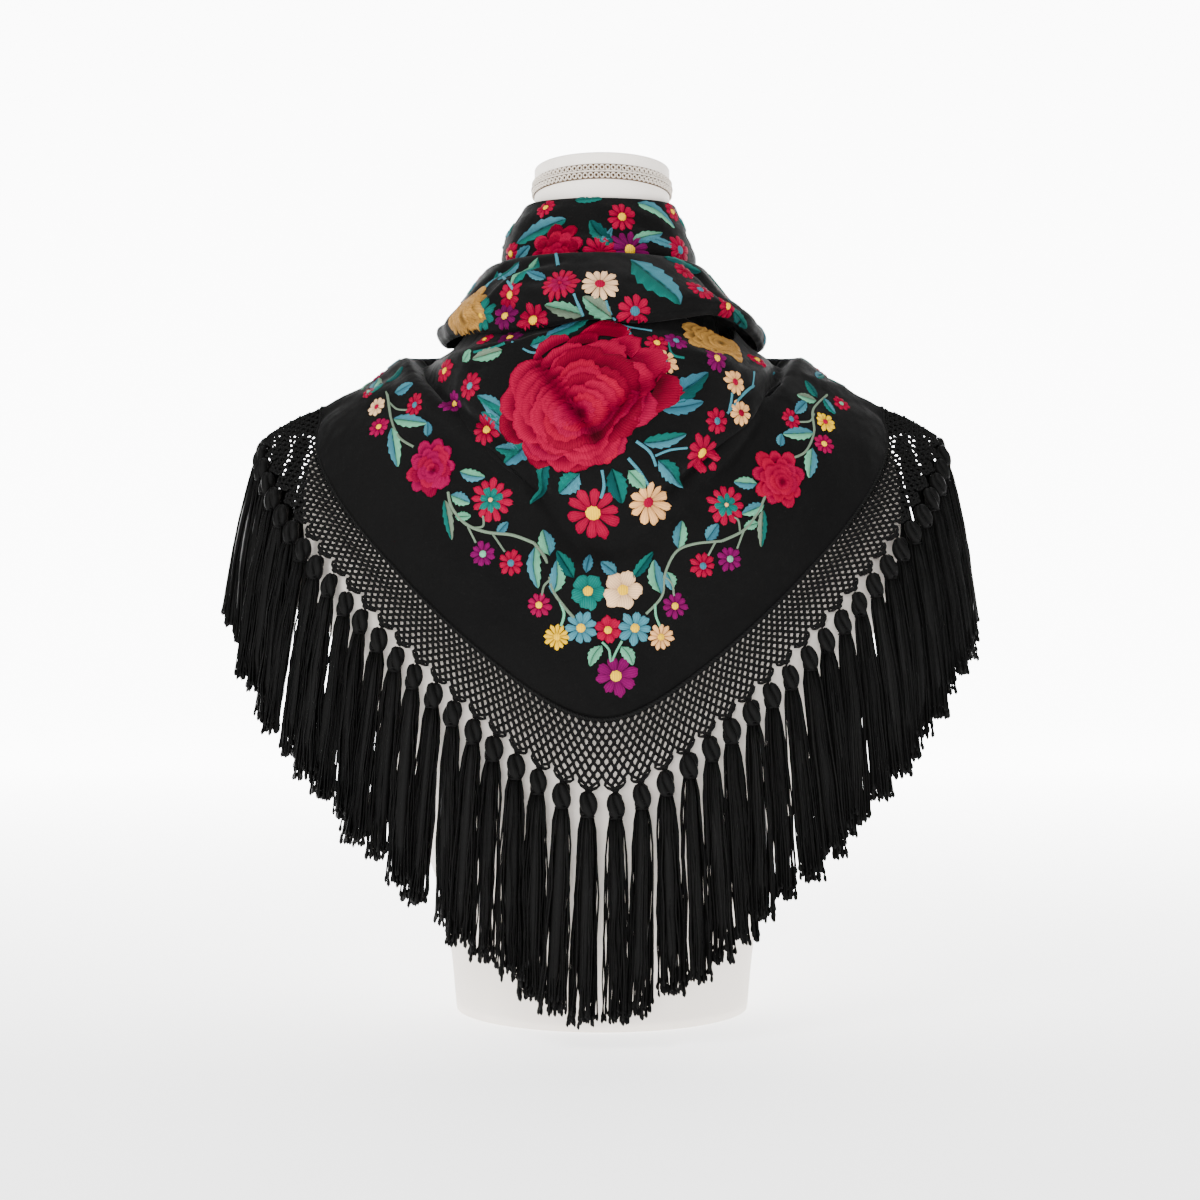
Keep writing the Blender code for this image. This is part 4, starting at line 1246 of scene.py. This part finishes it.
# Paths are photo places. Height is above the cloth, and a trough's is below zero.
SEEN_CREASES = [
    Crease("front", 8.0, -8.0, [(540, 366), (560, 392), (582, 420), (596, 436)]),
    Crease("front", 8.0, -7.5, [(664, 376), (640, 392), (616, 410), (598, 434)]),
    Crease("front", 8.0, 3.0, [(545, 392), (566, 420), (588, 446)]),
    Crease("front", 9.0, 3.0, [(650, 402), (628, 424), (610, 448)]),
    Crease("front", 7.0, -2.5, [(594, 436), (597, 456), (604, 478)]),
    Crease("front", 14.0, 3.5, [(572, 350), (604, 372), (640, 362)]),
    Crease("front", 5.5, -6.0, [(420, 380), (452, 404), (490, 432), (524, 462), (546, 498)]),
    Crease("front", 8.0, 6.0, [(404, 376), (436, 404), (474, 436), (510, 466), (530, 492)]),
    Crease("front", 8.0, -5.5, [(540, 520), (575, 543), (612, 549), (652, 540), (684, 512)]),
    Crease("front", 6.5, -5.0, [(780, 372), (769, 398), (757, 428), (735, 460), (708, 484), (686, 508)]),
    Crease("front", 10.0, 5.0, [(768, 392), (744, 420), (722, 452), (700, 480)]),
    Crease("front", 14.0, -1.6, [(440, 590), (478, 604), (512, 596)]),
    Crease("front", 12.0, -1.6, [(556, 700), (610, 704), (674, 692)]),
    Crease("front", 16.0, 1.8, [(380, 480), (430, 540), (500, 590)]),
    Crease("front", 16.0, 1.6, [(690, 620), (750, 560), (800, 500)]),
    Crease("front", 10.0, -1.4, [(700, 640), (740, 600), (770, 560)]),
    Crease("front", 5.0, -2.0, [(450, 352), (478, 366), (506, 362)]),
    Crease("front", 5.0, 1.8, [(470, 348), (500, 356), (534, 350)]),
    Crease("front", 6.0, -2.2, [(690, 362), (726, 368), (760, 362)]),
    Crease("front", 6.0, 6.0, [(446, 360), (480, 354), (520, 347), (560, 334)]),
    Crease("front", 6.0, 4.0, [(686, 352), (716, 362), (756, 360)]),
    Crease("front", 5.0, -2.8, [(540, 500), (566, 530), (600, 540), (640, 532)]),
    Crease("front", 6.0, 3.0, [(520, 560), (560, 572), (604, 566)]),
    Crease("front", 6.0, -2.8, [(640, 540), (676, 520), (700, 500)]),
    Crease("front", 6.0, 1.6, [(470, 560), (500, 590), (530, 612)]),
    Crease("front", 7.0, -1.8, [(560, 660), (590, 690), (640, 700), (690, 670)]),
    Crease("lower", 5.0, -4.5, [(446, 318), (470, 296), (492, 276), (516, 262)]),
    Crease("lower", 5.0, 3.5, [(456, 330), (482, 306), (508, 284), (540, 270)]),
    Crease("lower", 5.0, -4.0, [(740, 330), (724, 300), (704, 276), (684, 262)]),
    Crease("lower", 7.7, -5.8, [(486, 300), (520, 312), (560, 306), (596, 312)]),
    Crease("lower", 8.8, 4.5, [(500, 286), (530, 296), (570, 300), (600, 300)]),
    Crease("lower", 6.6, -5.0, [(688, 266), (706, 280), (728, 300), (744, 322)]),
    Crease("lower", 6.6, -3.6, [(500, 278), (530, 264), (566, 260)]),
    Crease("lower", 6.0, 4.0, [(700, 264), (722, 282), (742, 306)]),
    Crease("lower", 5.5, -4.7, [(452, 330), (476, 318), (504, 322), (530, 334)]),
    Crease("lower", 5.5, -4.0, [(650, 312), (690, 306), (730, 316)]),
    Crease("upper", 6.6, -4.3, [(520, 236), (560, 226), (610, 232), (650, 246)]),
    Crease("upper", 7.7, 3.2, [(516, 226), (560, 212), (620, 212), (668, 226)]),
    Crease("upper", 5.5, -3.2, [(600, 214), (640, 222), (672, 240)]),
    Crease("upper", 5.5, -2.9, [(512, 258), (540, 246), (580, 248)]),
]
# Paths here are angles and levels, on the stretches that the picture hides.
HIDDEN_CREASES = [
    Crease("front", 8.0, -3.0, [(64, 6.2), (78, 7.4), (92, 8.8)]),
    Crease("front", 9.0, 2.6, [(70, 6.6), (84, 8.2), (94, 9.8)]),
    Crease("front", 8.0, -3.0, [(-66, 6.2), (-80, 7.6), (-93, 9.0)]),
    Crease("front", 9.0, 2.6, [(-60, 6.6), (-78, 8.4), (-92, 10.0)]),
    Crease("left_back", 9.0, 2.4, [(102, 9.0), (124, 7.6), (148, 7.0)]),
    Crease("left_back", 8.0, -2.2, [(106, 10.2), (130, 9.0), (158, 8.4)]),
    Crease("left_back", 8.0, 2.0, [(140, 10.4), (160, 8.8), (172, 6.0)]),
    Crease("right_back", 9.0, 2.2, [(-104, 8.4), (-126, 7.8), (-150, 6.6)]),
    Crease("right_back", 8.0, -2.2, [(-110, 10.0), (-134, 9.4), (-160, 8.0)]),
    Crease("right_back", 8.0, 2.0, [(-136, 10.6), (-158, 9.4), (-172, 6.8)]),
    Crease("lower", 7.7, -5.4, [(70, 4.0), (100, 2.6), (136, 2.2)]),
    Crease("lower", 8.8, 4.3, [(84, 4.6), (118, 3.4), (160, 3.2)]),
    Crease("lower", 7.7, -5.0, [(140, 4.2), (176, 2.8)]),
    Crease("lower", 7.7, -5.0, [(-176, 3.4), (-140, 2.2), (-104, 2.4)]),
    Crease("lower", 8.8, 4.3, [(-150, 4.4), (-112, 3.8), (-80, 4.2)]),
    Crease("lower", 6.6, -4.3, [(-96, 3.4), (-72, 4.4)]),
    Crease("upper", 6.6, -3.6, [(76, 3.4), (110, 2.4), (150, 2.6)]),
    Crease("upper", 7.7, 3.2, [(96, 3.9), (140, 3.4), (176, 3.6)]),
    Crease("upper", 6.6, -3.6, [(-172, 2.6), (-130, 2.2), (-92, 3.2)]),
    Crease("upper", 6.6, 2.9, [(-150, 3.8), (-110, 3.6), (-78, 3.0)]),
    Crease("inner", 6.0, 2.0, [(-60, 0.6), (-30, 1.2), (0, 1.0)]),
    Crease("inner", 6.0, 2.0, [(20, 1.2), (50, 0.8), (80, 1.4)]),
]

ALL_ROUND = (-180, 180)
TO_HEM = (0, HEM_LEVEL)
UPPER_WRAP = wrap_surface(UPPER_WRAP_RINGS, WRAP_GAP)
LOWER_WRAP = wrap_surface(LOWER_WRAP_RINGS, WRAP_GAP, LIP_WAVES)
INNER_WRAP = wrap_surface(INNER_WRAP_RINGS, CLOTH_WALL + WRAP_GAP)
Stretch = namedtuple("Stretch", "name surface angles levels columns rows node piece")
STRETCHES = [
    Stretch("front", shawl_surface, (-SEAM, SEAM), TO_HEM, 190, 88, "shawl_front", "front_cloth"),
    Stretch(
        "left_back", shawl_surface, (SEAM, BACK_END), TO_HEM, 48, 44,
        "shawl_back_left", "back_cloth_left",
    ),
    Stretch(
        "right_back", shawl_surface, (-BACK_END, -SEAM), TO_HEM, 48, 44,
        "shawl_back_right", "back_cloth_right",
    ),
    Stretch("upper", UPPER_WRAP, ALL_ROUND, (0, 5), 160, 34, "wrap_upper", "upper_wrap_cloth"),
    Stretch("lower", LOWER_WRAP, ALL_ROUND, (0, 6), 184, 42, "wrap_lower", "lower_wrap_cloth"),
    Stretch("inner", INNER_WRAP, ALL_ROUND, (0, 2), 96, 12, "wrap_inner", "inner_wrap_cloth"),
]


def make_cloths():
    """Each stretch of cloth with its creases. Those that go right round are joined where they end."""
    cloths = {
        row.name: Cloth(row.surface, row.angles, row.levels, row.columns, row.rows)
        for row in STRETCHES
    }
    seen = [(row, [cloths[row.cloth].seen(*place) for place in row.path]) for row in SEEN_CREASES]
    hidden = [(row, [cloths[row.cloth].at(*place) for place in row.path]) for row in HIDDEN_CREASES]
    for row, path in seen + hidden:
        path = [place for place in path if place is not None]
        if len(path) > 1:
            cloths[row.cloth].crease(path, row.width_mm * MM, row.height_mm * MM)
    for cloth in cloths.values():
        if cloth.angles == ALL_ROUND:
            ends = (cloth.points[:, 0] + cloth.points[:, -1]) / 2
            cloth.points[:, 0] = cloth.points[:, -1] = ends
        cloth.settle()
    return cloths


def make_shells(cloths, material):
    return {
        row.name: shell(cloths[row.name], row.piece, material, (row.node,))
        for row in STRETCHES
    }


# ---------------------------------------------------------------- knotted lace and its tassels

LACE_MIDDLE = 12.0
LACE_SET_BACK = 0.0012
LACE_LEVELS = LACE_LEVEL - HEM_LEVEL
FRINGE_LEVELS = len(FRINGE_RINGS) - 1
LACE_UNEVEN = 0.09
LACE_SWELL = 0.60
# Near their end the cords draw together into a tassel: rows above the end where it starts, rows, and share.
GATHER_FROM, GATHER_OVER, GATHER = 2.0, 2.6, 0.93
CORD_CROSSING = 0.0004
KNOTLESS_ROWS = 1.5
KNOT_RISE = 0.0006
KNOT_SIZES = (0.0017, 0.0014, 0.0015)
TASSEL_STRANDS = 52
TASSEL_STEPS = 25
HEAD_LENGTH = 0.020
HEAD_LOBES = 3
HEAD_TWIST = 2.6
LOBE_RADIUS = 0.0038
LOBE_OFFSET = 0.0030
BINDING = 0.0045
BINDING_CORD = 0.0009
BINDING_STEPS = 13
BINDING_PLACES = (0.80, 0.92)
STRAND_RADIUS = 0.00080
STRAND_STEPS = (0, 0.08, 0.2, 0.4, 0.6, 0.8, 0.96, 0.975, 0.99, 1.0)
STRAND_THICKNESS = (1, 1, 1, 1, 1, 1, 0.9, 1.8, 1.8, 0.3)
# Shares of a tassel's length, and what it measures there.
CORE_RADII = (0.07, 0.16, 0.5, 0.8, 0.93), (0.0024, 0.0042, 0.0056, 0.0050, 0.0008)
SKIRT_HALF_WIDTHS = (0.08, 0.16, 0.35, 0.7, 1.0), (0.0036, 0.0066, 0.0086, 0.0100, 0.0112)
SKIRT_HALF_DEPTHS = (0.08, 0.16, 0.5, 1.0), (0.0030, 0.0048, 0.0056, 0.0062)

Side = namedtuple("Side", "name sign")
SIDES = [Side("left", 1), Side("right", -1)]


class Edge:
    """The left side's lace and fringe, by distance from the point to the nape. The right mirrors them."""

    def __init__(self):
        self.lace = Cloth(shawl_surface, (0, BACK_END), (HEM_LEVEL, LACE_LEVEL), 420, 12)
        self.fringe = Cloth(fringe_surface, (0, BACK_END), (0, FRINGE_LEVELS), 240, 18)
        self.degrees = np.linspace(0, BACK_END, 1500)
        line = self.lace.sample(self.degrees, np.full(len(self.degrees), LACE_MIDDLE))[0]
        self.far = np.cumsum(np.linalg.norm(np.diff(line, axis=0, prepend=line[:1]), axis=1))
        self.tassels = round(self.far[-1] / (LACE_PITCH * CORDS_A_TASSEL / 2))
        self.pitches = self.tassels * CORDS_A_TASSEL // 2

    def angle(self, pitch):
        """The angle at a number of lace pitches from the point."""
        return np.interp(pitch / self.pitches * self.far[-1], self.far, self.degrees)


def lace_cords(bundle, edge, mirror, angles):
    """Pairs of cords that meet and part round almond-shaped holes, row below row, and gather into tassels."""
    cord = np.arange(2 * edge.pitches)
    middle = (cord + 0.5) / 2
    chosen = (edge.angle(middle) >= angles[0]) & (edge.angle(middle) < angles[1])
    cord, middle = cord[chosen][:, None], middle[chosen][:, None]
    row = np.linspace(0, LACE_ROWS, 3 * LACE_ROWS + 1)
    row = np.concatenate([row, [LACE_ROWS + 0.5, LACE_ROWS + 1.0]])[None, :]
    pitch_part = (LACE_PITCH / 4 - PAIR_SPREAD / 2) / LACE_PITCH
    sign = np.where(cord % 2 == 0, 1, -1)
    wave = np.cos(np.pi * row)
    uneven = LACE_UNEVEN * (chance.random((len(cord), row.size)) - 0.5)
    across = middle + sign * pitch_part * np.sign(wave) * np.abs(wave) ** ROUNDNESS + uneven
    tassel = (np.floor(middle / 3) + 0.5) * 3
    gather = np.clip((row - LACE_ROWS + GATHER_FROM) / GATHER_OVER, 0, 1) ** 1.3
    across = across + (tassel - across) * GATHER * gather
    level = HEM_LEVEL + LACE_LEVELS * row / LACE_ROWS + 0 * across
    points, normals = edge.lace.sample(edge.angle(across), level)
    sunk = -LACE_SET_BACK + CORD_CROSSING * sign * np.sin(np.pi * (row + 0.5))
    points = (points + normals * sunk[..., None]) * mirror
    radii = CORD_RADIUS * (1 + LACE_SWELL * np.sin(np.pi * row) ** 2) + 0 * across
    bundle.tubes(points, normals * mirror, radii, 5)


def lace_knots(bundle, edge, mirror, angles):
    """A knot wherever two pairs meet, in rows that are half a pitch apart from each other."""
    knots = []
    for step in range(1, LACE_ROWS + 1):
        places = np.arange(0, edge.pitches + 1) + (0.5 if step % 2 == 0 else 0.0)
        knots.append(np.stack([places, np.full(len(places), step - 0.02)], axis=-1))
    knots = np.concatenate(knots)
    near = (edge.angle(knots[:, 0]) >= angles[0]) & (edge.angle(knots[:, 0]) < angles[1])
    place, row = knots[near & (knots[:, 1] < LACE_ROWS - KNOTLESS_ROWS)].T
    centres, normals = edge.lace.sample(edge.angle(place), HEM_LEVEL + LACE_LEVELS * row / LACE_ROWS)
    below = edge.lace.sample(edge.angle(place), HEM_LEVEL + LACE_LEVELS * (row + 0.3) / LACE_ROWS)[0]
    down = unit((below - centres) * mirror)
    out = normals * mirror
    centres = (centres - normals * LACE_SET_BACK) * mirror + out * KNOT_RISE
    sizes = np.array(KNOT_SIZES) * (0.9 + 0.2 * chance.random((len(centres), 1)))
    bead = small_shape("uv_sphere", segments=7, ring_count=4, radius=1)
    bundle.copies(bead, centres, np.cross(-down, out), -down, out, sizes)


def lace_hem(bundle, edge, mirror, angles):
    """Two cords wound together along the cloth's hem."""
    along = np.linspace(*angles, 260)
    hem = []
    for turn in (0, np.pi):
        wind = turn + along * 3.0
        rim, out = edge.lace.sample(along, np.full(len(along), HEM_LEVEL + 0.03) + 0.012 * np.sin(wind))
        hem.append((rim + out * (0.0004 * np.cos(wind)[:, None])) * mirror)
    hem = np.stack(hem)
    bundle.tubes(hem, np.broadcast_to(out * mirror, hem.shape), HEM_BEAD, 6)


def make_lace(edge, side, name, node, angles, material):
    bundle = Bundle()
    mirror = np.array([side.sign, 1, 1])
    lace_cords(bundle, edge, mirror, angles)
    lace_knots(bundle, edge, mirror, angles)
    lace_hem(bundle, edge, mirror, angles)
    return bundle.make(name, material, "black_lace_cord", (node,))


class Tassel:
    """One tassel: the line that it hangs along, each a little differently, and the parts strung on it."""

    def __init__(self, edge, index, mirror):
        pitch = (index + 0.5) * CORDS_A_TASSEL / 2 + 0.16 * (chance.random() - 0.5)
        angle = float(edge.angle(np.array(pitch)))
        whole = 0.98 + 0.05 * chance.random()
        level = np.linspace(0.08 * chance.random(), FRINGE_LEVELS * whole, TASSEL_STEPS)
        line, normals = edge.fringe.sample(np.full(TASSEL_STEPS, angle), level)
        line, out = line * mirror, normals * mirror
        right = unit(np.cross(unit(np.gradient(line, axis=0)), out))
        far = np.cumsum(np.linalg.norm(np.diff(line, axis=0, prepend=line[:1]), axis=1))
        self.length = far[-1]
        self.share = far / far[-1]
        sway, swing = 0.012 * (chance.random() - 0.5), 0.009 * chance.random() - 0.003
        self.line = line + right * (sway * self.share**2)[:, None] + out * (swing * self.share)[:, None]
        self.right, self.out = right, out

    def at(self, part):
        """Centre, right and outward direction at shares of the tassel's length."""
        return [
            np.stack([np.interp(part, self.share, way[:, axis]) for axis in range(3)], axis=-1)
            for way in (self.line, self.right, self.out)
        ]

    def head(self, bundle):
        """Three twisted lobes, thickest in the middle."""
        step = np.linspace(0, 1, 10)
        centre, across, outward = self.at(step * HEAD_LENGTH / self.length)
        swell = np.sin(np.pi * (0.10 + 0.80 * step)) ** 0.7
        start = chance.random() * 6.28
        size = 0.95 + 0.12 * chance.random()
        lobes = []
        for lobe in range(HEAD_LOBES):
            turn = start + 2 * np.pi * lobe / HEAD_LOBES + step * HEAD_TWIST
            offset = (LOBE_OFFSET * size * swell)[:, None]
            way = across * np.cos(turn)[:, None] * 1.15 + outward * np.sin(turn)[:, None] * 0.8
            lobes.append(centre + offset * way)
        lobes = np.stack(lobes)
        radii = LOBE_RADIUS * size * (0.25 + 0.75 * swell)
        radii[[0, -1]] *= 0.3
        bundle.tubes(lobes, np.broadcast_to(outward, lobes.shape), radii, 8)

    def binding(self, bundle):
        """Two turns of cord round the head's lower end."""
        turn = np.linspace(0, 2 * np.pi, BINDING_STEPS)[:, None]
        axis = np.broadcast_to(self.line[3] - self.line[0], (1, BINDING_STEPS, 3))
        for step in BINDING_PLACES:
            centre, across, outward = self.at(np.array(step * HEAD_LENGTH / self.length))
            ring = centre + BINDING * (across * np.cos(turn) + outward * 0.82 * np.sin(turn))
            bundle.tubes(ring[None], axis, BINDING_CORD, 4)

    def core(self, bundle):
        """The dense middle of the skirt, behind the loose strands."""
        step = np.linspace(CORE_RADII[0][0], CORE_RADII[0][-1], 8)
        centre, _, outward = self.at(step)
        bundle.tubes(centre[None], outward[None], np.interp(step, *CORE_RADII), 6)

    def strands(self, bundle):
        """Loose strands, each of its own place, length, thickness and tone, with a small knot at its end."""
        each = (TASSEL_STRANDS, 1)
        angle_round = chance.random(TASSEL_STRANDS) * 2 * np.pi
        reach = chance.random(TASSEL_STRANDS) ** 0.45
        top = HEAD_LENGTH * 0.8 / self.length
        ends = 0.93 + 0.07 * chance.random(TASSEL_STRANDS)
        part = top + np.array(STRAND_STEPS)[None, :] * (ends[:, None] - top)
        centre, across, outward = self.at(part)
        wave = 0.0009 * np.sin(part * (9 + 12 * chance.random(each)) + 6.28 * chance.random(each))
        wave = wave * np.clip(part * 3, 0, 1)
        wide = np.interp(part, *SKIRT_HALF_WIDTHS) * (reach * np.cos(angle_round))[:, None] + wave
        deep = np.interp(part, *SKIRT_HALF_DEPTHS) * (reach * np.sin(angle_round))[:, None] + wave * 0.6
        paths = centre + across * wide[..., None] + outward * deep[..., None]
        radii = STRAND_RADIUS * (0.8 + 0.4 * chance.random(each)) * np.array(STRAND_THICKNESS)
        tones = np.array([1.0, 1.0, 1.0]) * (0.35 + 1.3 * chance.random(each))
        bundle.tubes(paths, outward, radii, 3, tones)


def make_fringe(edge, side, name, node, tassels, material):
    """Tassels of loose strands below twisted heads."""
    bundle = Bundle()
    mirror = np.array([side.sign, 1, 1])
    for index in tassels:
        tassel = Tassel(edge, index, mirror)
        tassel.head(bundle)
        tassel.binding(bundle)
        tassel.core(bundle)
        tassel.strands(bundle)
    return bundle.make(name, material, "black_fringe", (node,))


def make_edges(lace_material, fringe_material):
    """Every panel of lace and stretch of fringe, by the name of its solid."""
    edge = Edge()
    degrees = edge.angle((np.arange(edge.tassels) + 0.5) * CORDS_A_TASSEL / 2)
    panels = {"front": (0.0, SEAM), "back": (SEAM, BACK_END + 1)}
    stretches = {"front": (0, FRINGE_TURNS[0]), "side": FRINGE_TURNS, "back": (FRINGE_TURNS[1], 181)}
    trims = {}
    for side in SIDES:
        for part, angles in panels.items():
            piece = f"lace_{part}_{side.name}"
            trims[piece] = make_lace(edge, side, f"knotted_{piece}", piece, angles, lace_material)
        for part, angles in stretches.items():
            piece = f"fringe_{part}_{side.name}"
            name = f"tassels_{part}_{side.name}"
            chosen = np.flatnonzero((degrees >= angles[0]) & (degrees < angles[1]))
            trims[piece] = make_fringe(edge, side, name, piece, chosen, fringe_material)
    return trims


# ---------------------------------------------------------------- the cut of the cloth

Sheet = namedtuple("Sheet", "cloth across down area rests_on trims")
# What shows of the one triangle of cloth, laid flat, in metres and square metres.
SHEETS = [
    Sheet("front", 0.82, 0.33, 0.127, "form_cover", ("lace_front", "fringe_front", "fringe_side")),
    Sheet("left_back", 0.22, 0.13, 0.0105, "form_cover", ("lace_back_left", "fringe_back_left")),
    Sheet("right_back", 0.22, 0.13, 0.0105, "form_cover", ("lace_back_right", "fringe_back_right")),
    Sheet("upper", 0.46, 0.077, 0.031, "form_cover", ()),
    Sheet("lower", 0.76, 0.098, 0.061, "upper_wrap_cloth", ()),
    Sheet("inner", 0.57, 0.049, 0.0194, "form_cover", ()),
]


def declare_sheets(stitched, trims):
    for sheet in SHEETS:
        sewn = [piece for name, piece in trims.items() if sheet.trims and name.startswith(sheet.trims)]
        if sheet.cloth in stitched:
            sewn.append(stitched[sheet.cloth])


# ---------------------------------------------------------------- dress form


def make_cover(linen):
    """The form's linen cover, closed at its neck and its base."""
    cover = Cloth(form_surface, ALL_ROUND, (0, len(FORM_RINGS) - 1), 96, 84)
    cover.points[:, 0] = cover.points[:, -1]
    body = grid_piece(cover, "form_cover", linen)
    edit_all("fill_holes", sides=0)
    keep(body, ("form_body",))


def make_cap(linen):
    cap = primitive(
        "cylinder", "neck_cap", vertices=96, radius=CAP_RADIUS, depth=CAP_TOP - CAP_LOW,
        location=(0, 0, (CAP_TOP + CAP_LOW) / 2),
    )
    place_in_mesh(cap)
    for vertex in cap.data.vertices:
        if vertex.co.z < CAP_TOP - MM:
            vertex.co.z = CAP_HEM + CAP_HEM_SLOPE * vertex.co.y
    rim = cap.modifiers.new("rim", "BEVEL")
    rim.width, rim.segments, rim.limit_method = CAP_RIM, 4, "ANGLE"
    bpy.ops.object.modifier_apply(modifier="rim")
    bpy.ops.object.shade_smooth()
    cap.data.materials.append(linen)
    keep(cap, ("form_neck_cap",))


def make_braids(cream):
    """Rings of leaning links on a band of painted shade behind them, with a plain cord below the upper row.
    """
    link = small_shape("torus", major_segments=12, minor_segments=6, major_radius=1.0, minor_radius=0.32)
    for node, height in BRAIDS.items():
        radius = CAP_RADIUS + BRAID_OUT
        count = round(2 * np.pi * radius / LINK_PITCH)
        turn = np.arange(count) * 2 * np.pi / count
        out = np.stack([np.sin(turn), -np.cos(turn), 0 * turn], axis=-1)
        along = np.stack([np.cos(turn), np.sin(turn), 0 * turn], axis=-1)
        up = np.tile([0.0, 0.0, 1.0], (count, 1))
        centres = out * radius + up * (height + BRAID_RISE * np.cos(turn))[:, None]
        lean = unit(along * 0.94 + up * 0.34)
        bundle = Bundle()
        bundle.copies(link, centres, lean, np.cross(out, lean), out, LINK_SIZES)
        ring = np.concatenate([np.arange(count), [0]])
        behind = centres[ring] - out[ring] * SHADE_BAND_BEHIND
        shade_band = [behind + up[ring] * rise for rise in (-SHADE_BAND_HALF, SHADE_BAND_HALF)]
        runs = np.stack([ring + [[0], [1]], 0 * ring + [[0], [1]]], axis=-1)
        bundle.patch(np.stack(shade_band)[:, ::-1], runs, RECESS_SHADE_TONE)
        if height == BRAIDS["form_braid_upper"]:
            cord = centres[ring] - up[ring] * SHADE_BAND_HALF + out[ring] * ROW_CORD_OUT
            bundle.tubes(cord[None], out[ring][None], ROW_CORD_RADIUS, 6)
        bundle.make(node.replace("form_", "chain_"), cream, "cream_braid", (node,))


# ---------------------------------------------------------------- studio

# The floor runs level to the start of the sweep, which then climbs behind the object.
FLOOR_SIZE = 9.0
FLOOR_LEVEL = -0.0004
SWEEP_START = 2.2
SWEEP_CLIMB = 0.55


def make_studio():
    floor = primitive("grid", "floor", x_subdivisions=60, y_subdivisions=60, size=FLOOR_SIZE)
    for vertex in floor.data.vertices:
        past = max(0.0, vertex.co.y - SWEEP_START)
        vertex.co.z = FLOOR_LEVEL + SWEEP_CLIMB * past**2
    bpy.ops.object.shade_smooth()
    floor.data.materials.append(plain_floor())

    Lamp = namedtuple("Lamp", "name place aim size power")
    lamps = [
        Lamp("key", (-1.3, -1.9, 2.4), (0, 0, 0.45), 0.9, 76),
        Lamp("front", (-0.25, -2.7, 0.62), (0, 0, 0.36), 0.6, 46),
        Lamp("fill", (2.0, -1.8, 1.0), (0, 0, 0.40), 1.8, 11.5),
        Lamp("top", (0.3, 0.5, 2.6), (0, 0, 0.50), 1.6, 34),
    ]
    for lamp in lamps:
        light = bpy.data.lights.new(lamp.name, "AREA")
        light.shape, light.size, light.energy = "DISK", lamp.size, lamp.power
        made = bpy.data.objects.new(lamp.name, light)
        made.location = lamp.place
        made.rotation_euler = (Vector(lamp.aim) - Vector(lamp.place)).to_track_quat("-Z", "Y").to_euler()
        bpy.context.scene.collection.objects.link(made)

    world = bpy.data.worlds.new("studio")
    world.use_nodes = True
    background = world.node_tree.nodes["Background"]
    background.inputs["Color"].default_value = (1.0, 1.0, 1.0, 1)
    background.inputs["Strength"].default_value = 0.4
    bpy.context.scene.world = world

    camera = bpy.data.cameras.new("camera")
    camera.lens, camera.sensor_width = LENS_MM, SENSOR_MM
    camera.clip_start = 0.05
    made = bpy.data.objects.new("camera", camera)
    made.location = EYE
    made.rotation_euler = (np.pi / 2, 0, 0)
    bpy.context.scene.collection.objects.link(made)
    bpy.context.scene.camera = made


# ---------------------------------------------------------------- the whole

make_studio()
crepe, silk = black_crepe(), silk_thread()
# Each cord's first tone is the painted shade in its ply grooves.
cord = twisted_cord("lace_cord", 2.4, (0.0022, 0.0022, 0.0022), (0.0100, 0.0100, 0.0098), 0.6, 0.03)
strand = fringe_strand()
linen = form_linen()
cream = twisted_cord("braid_cord", 0.9, (0.50, 0.42, 0.34), (0.90, 0.83, 0.74), 0.6, 0.1)

make_cover(linen)
make_cap(linen)
make_braids(cream)
cloths = make_cloths()
shells = make_shells(cloths, crepe)
stitched = stitch_all(cloths, silk)
trims = make_edges(cord, strand)
declare_sheets(stitched, trims)
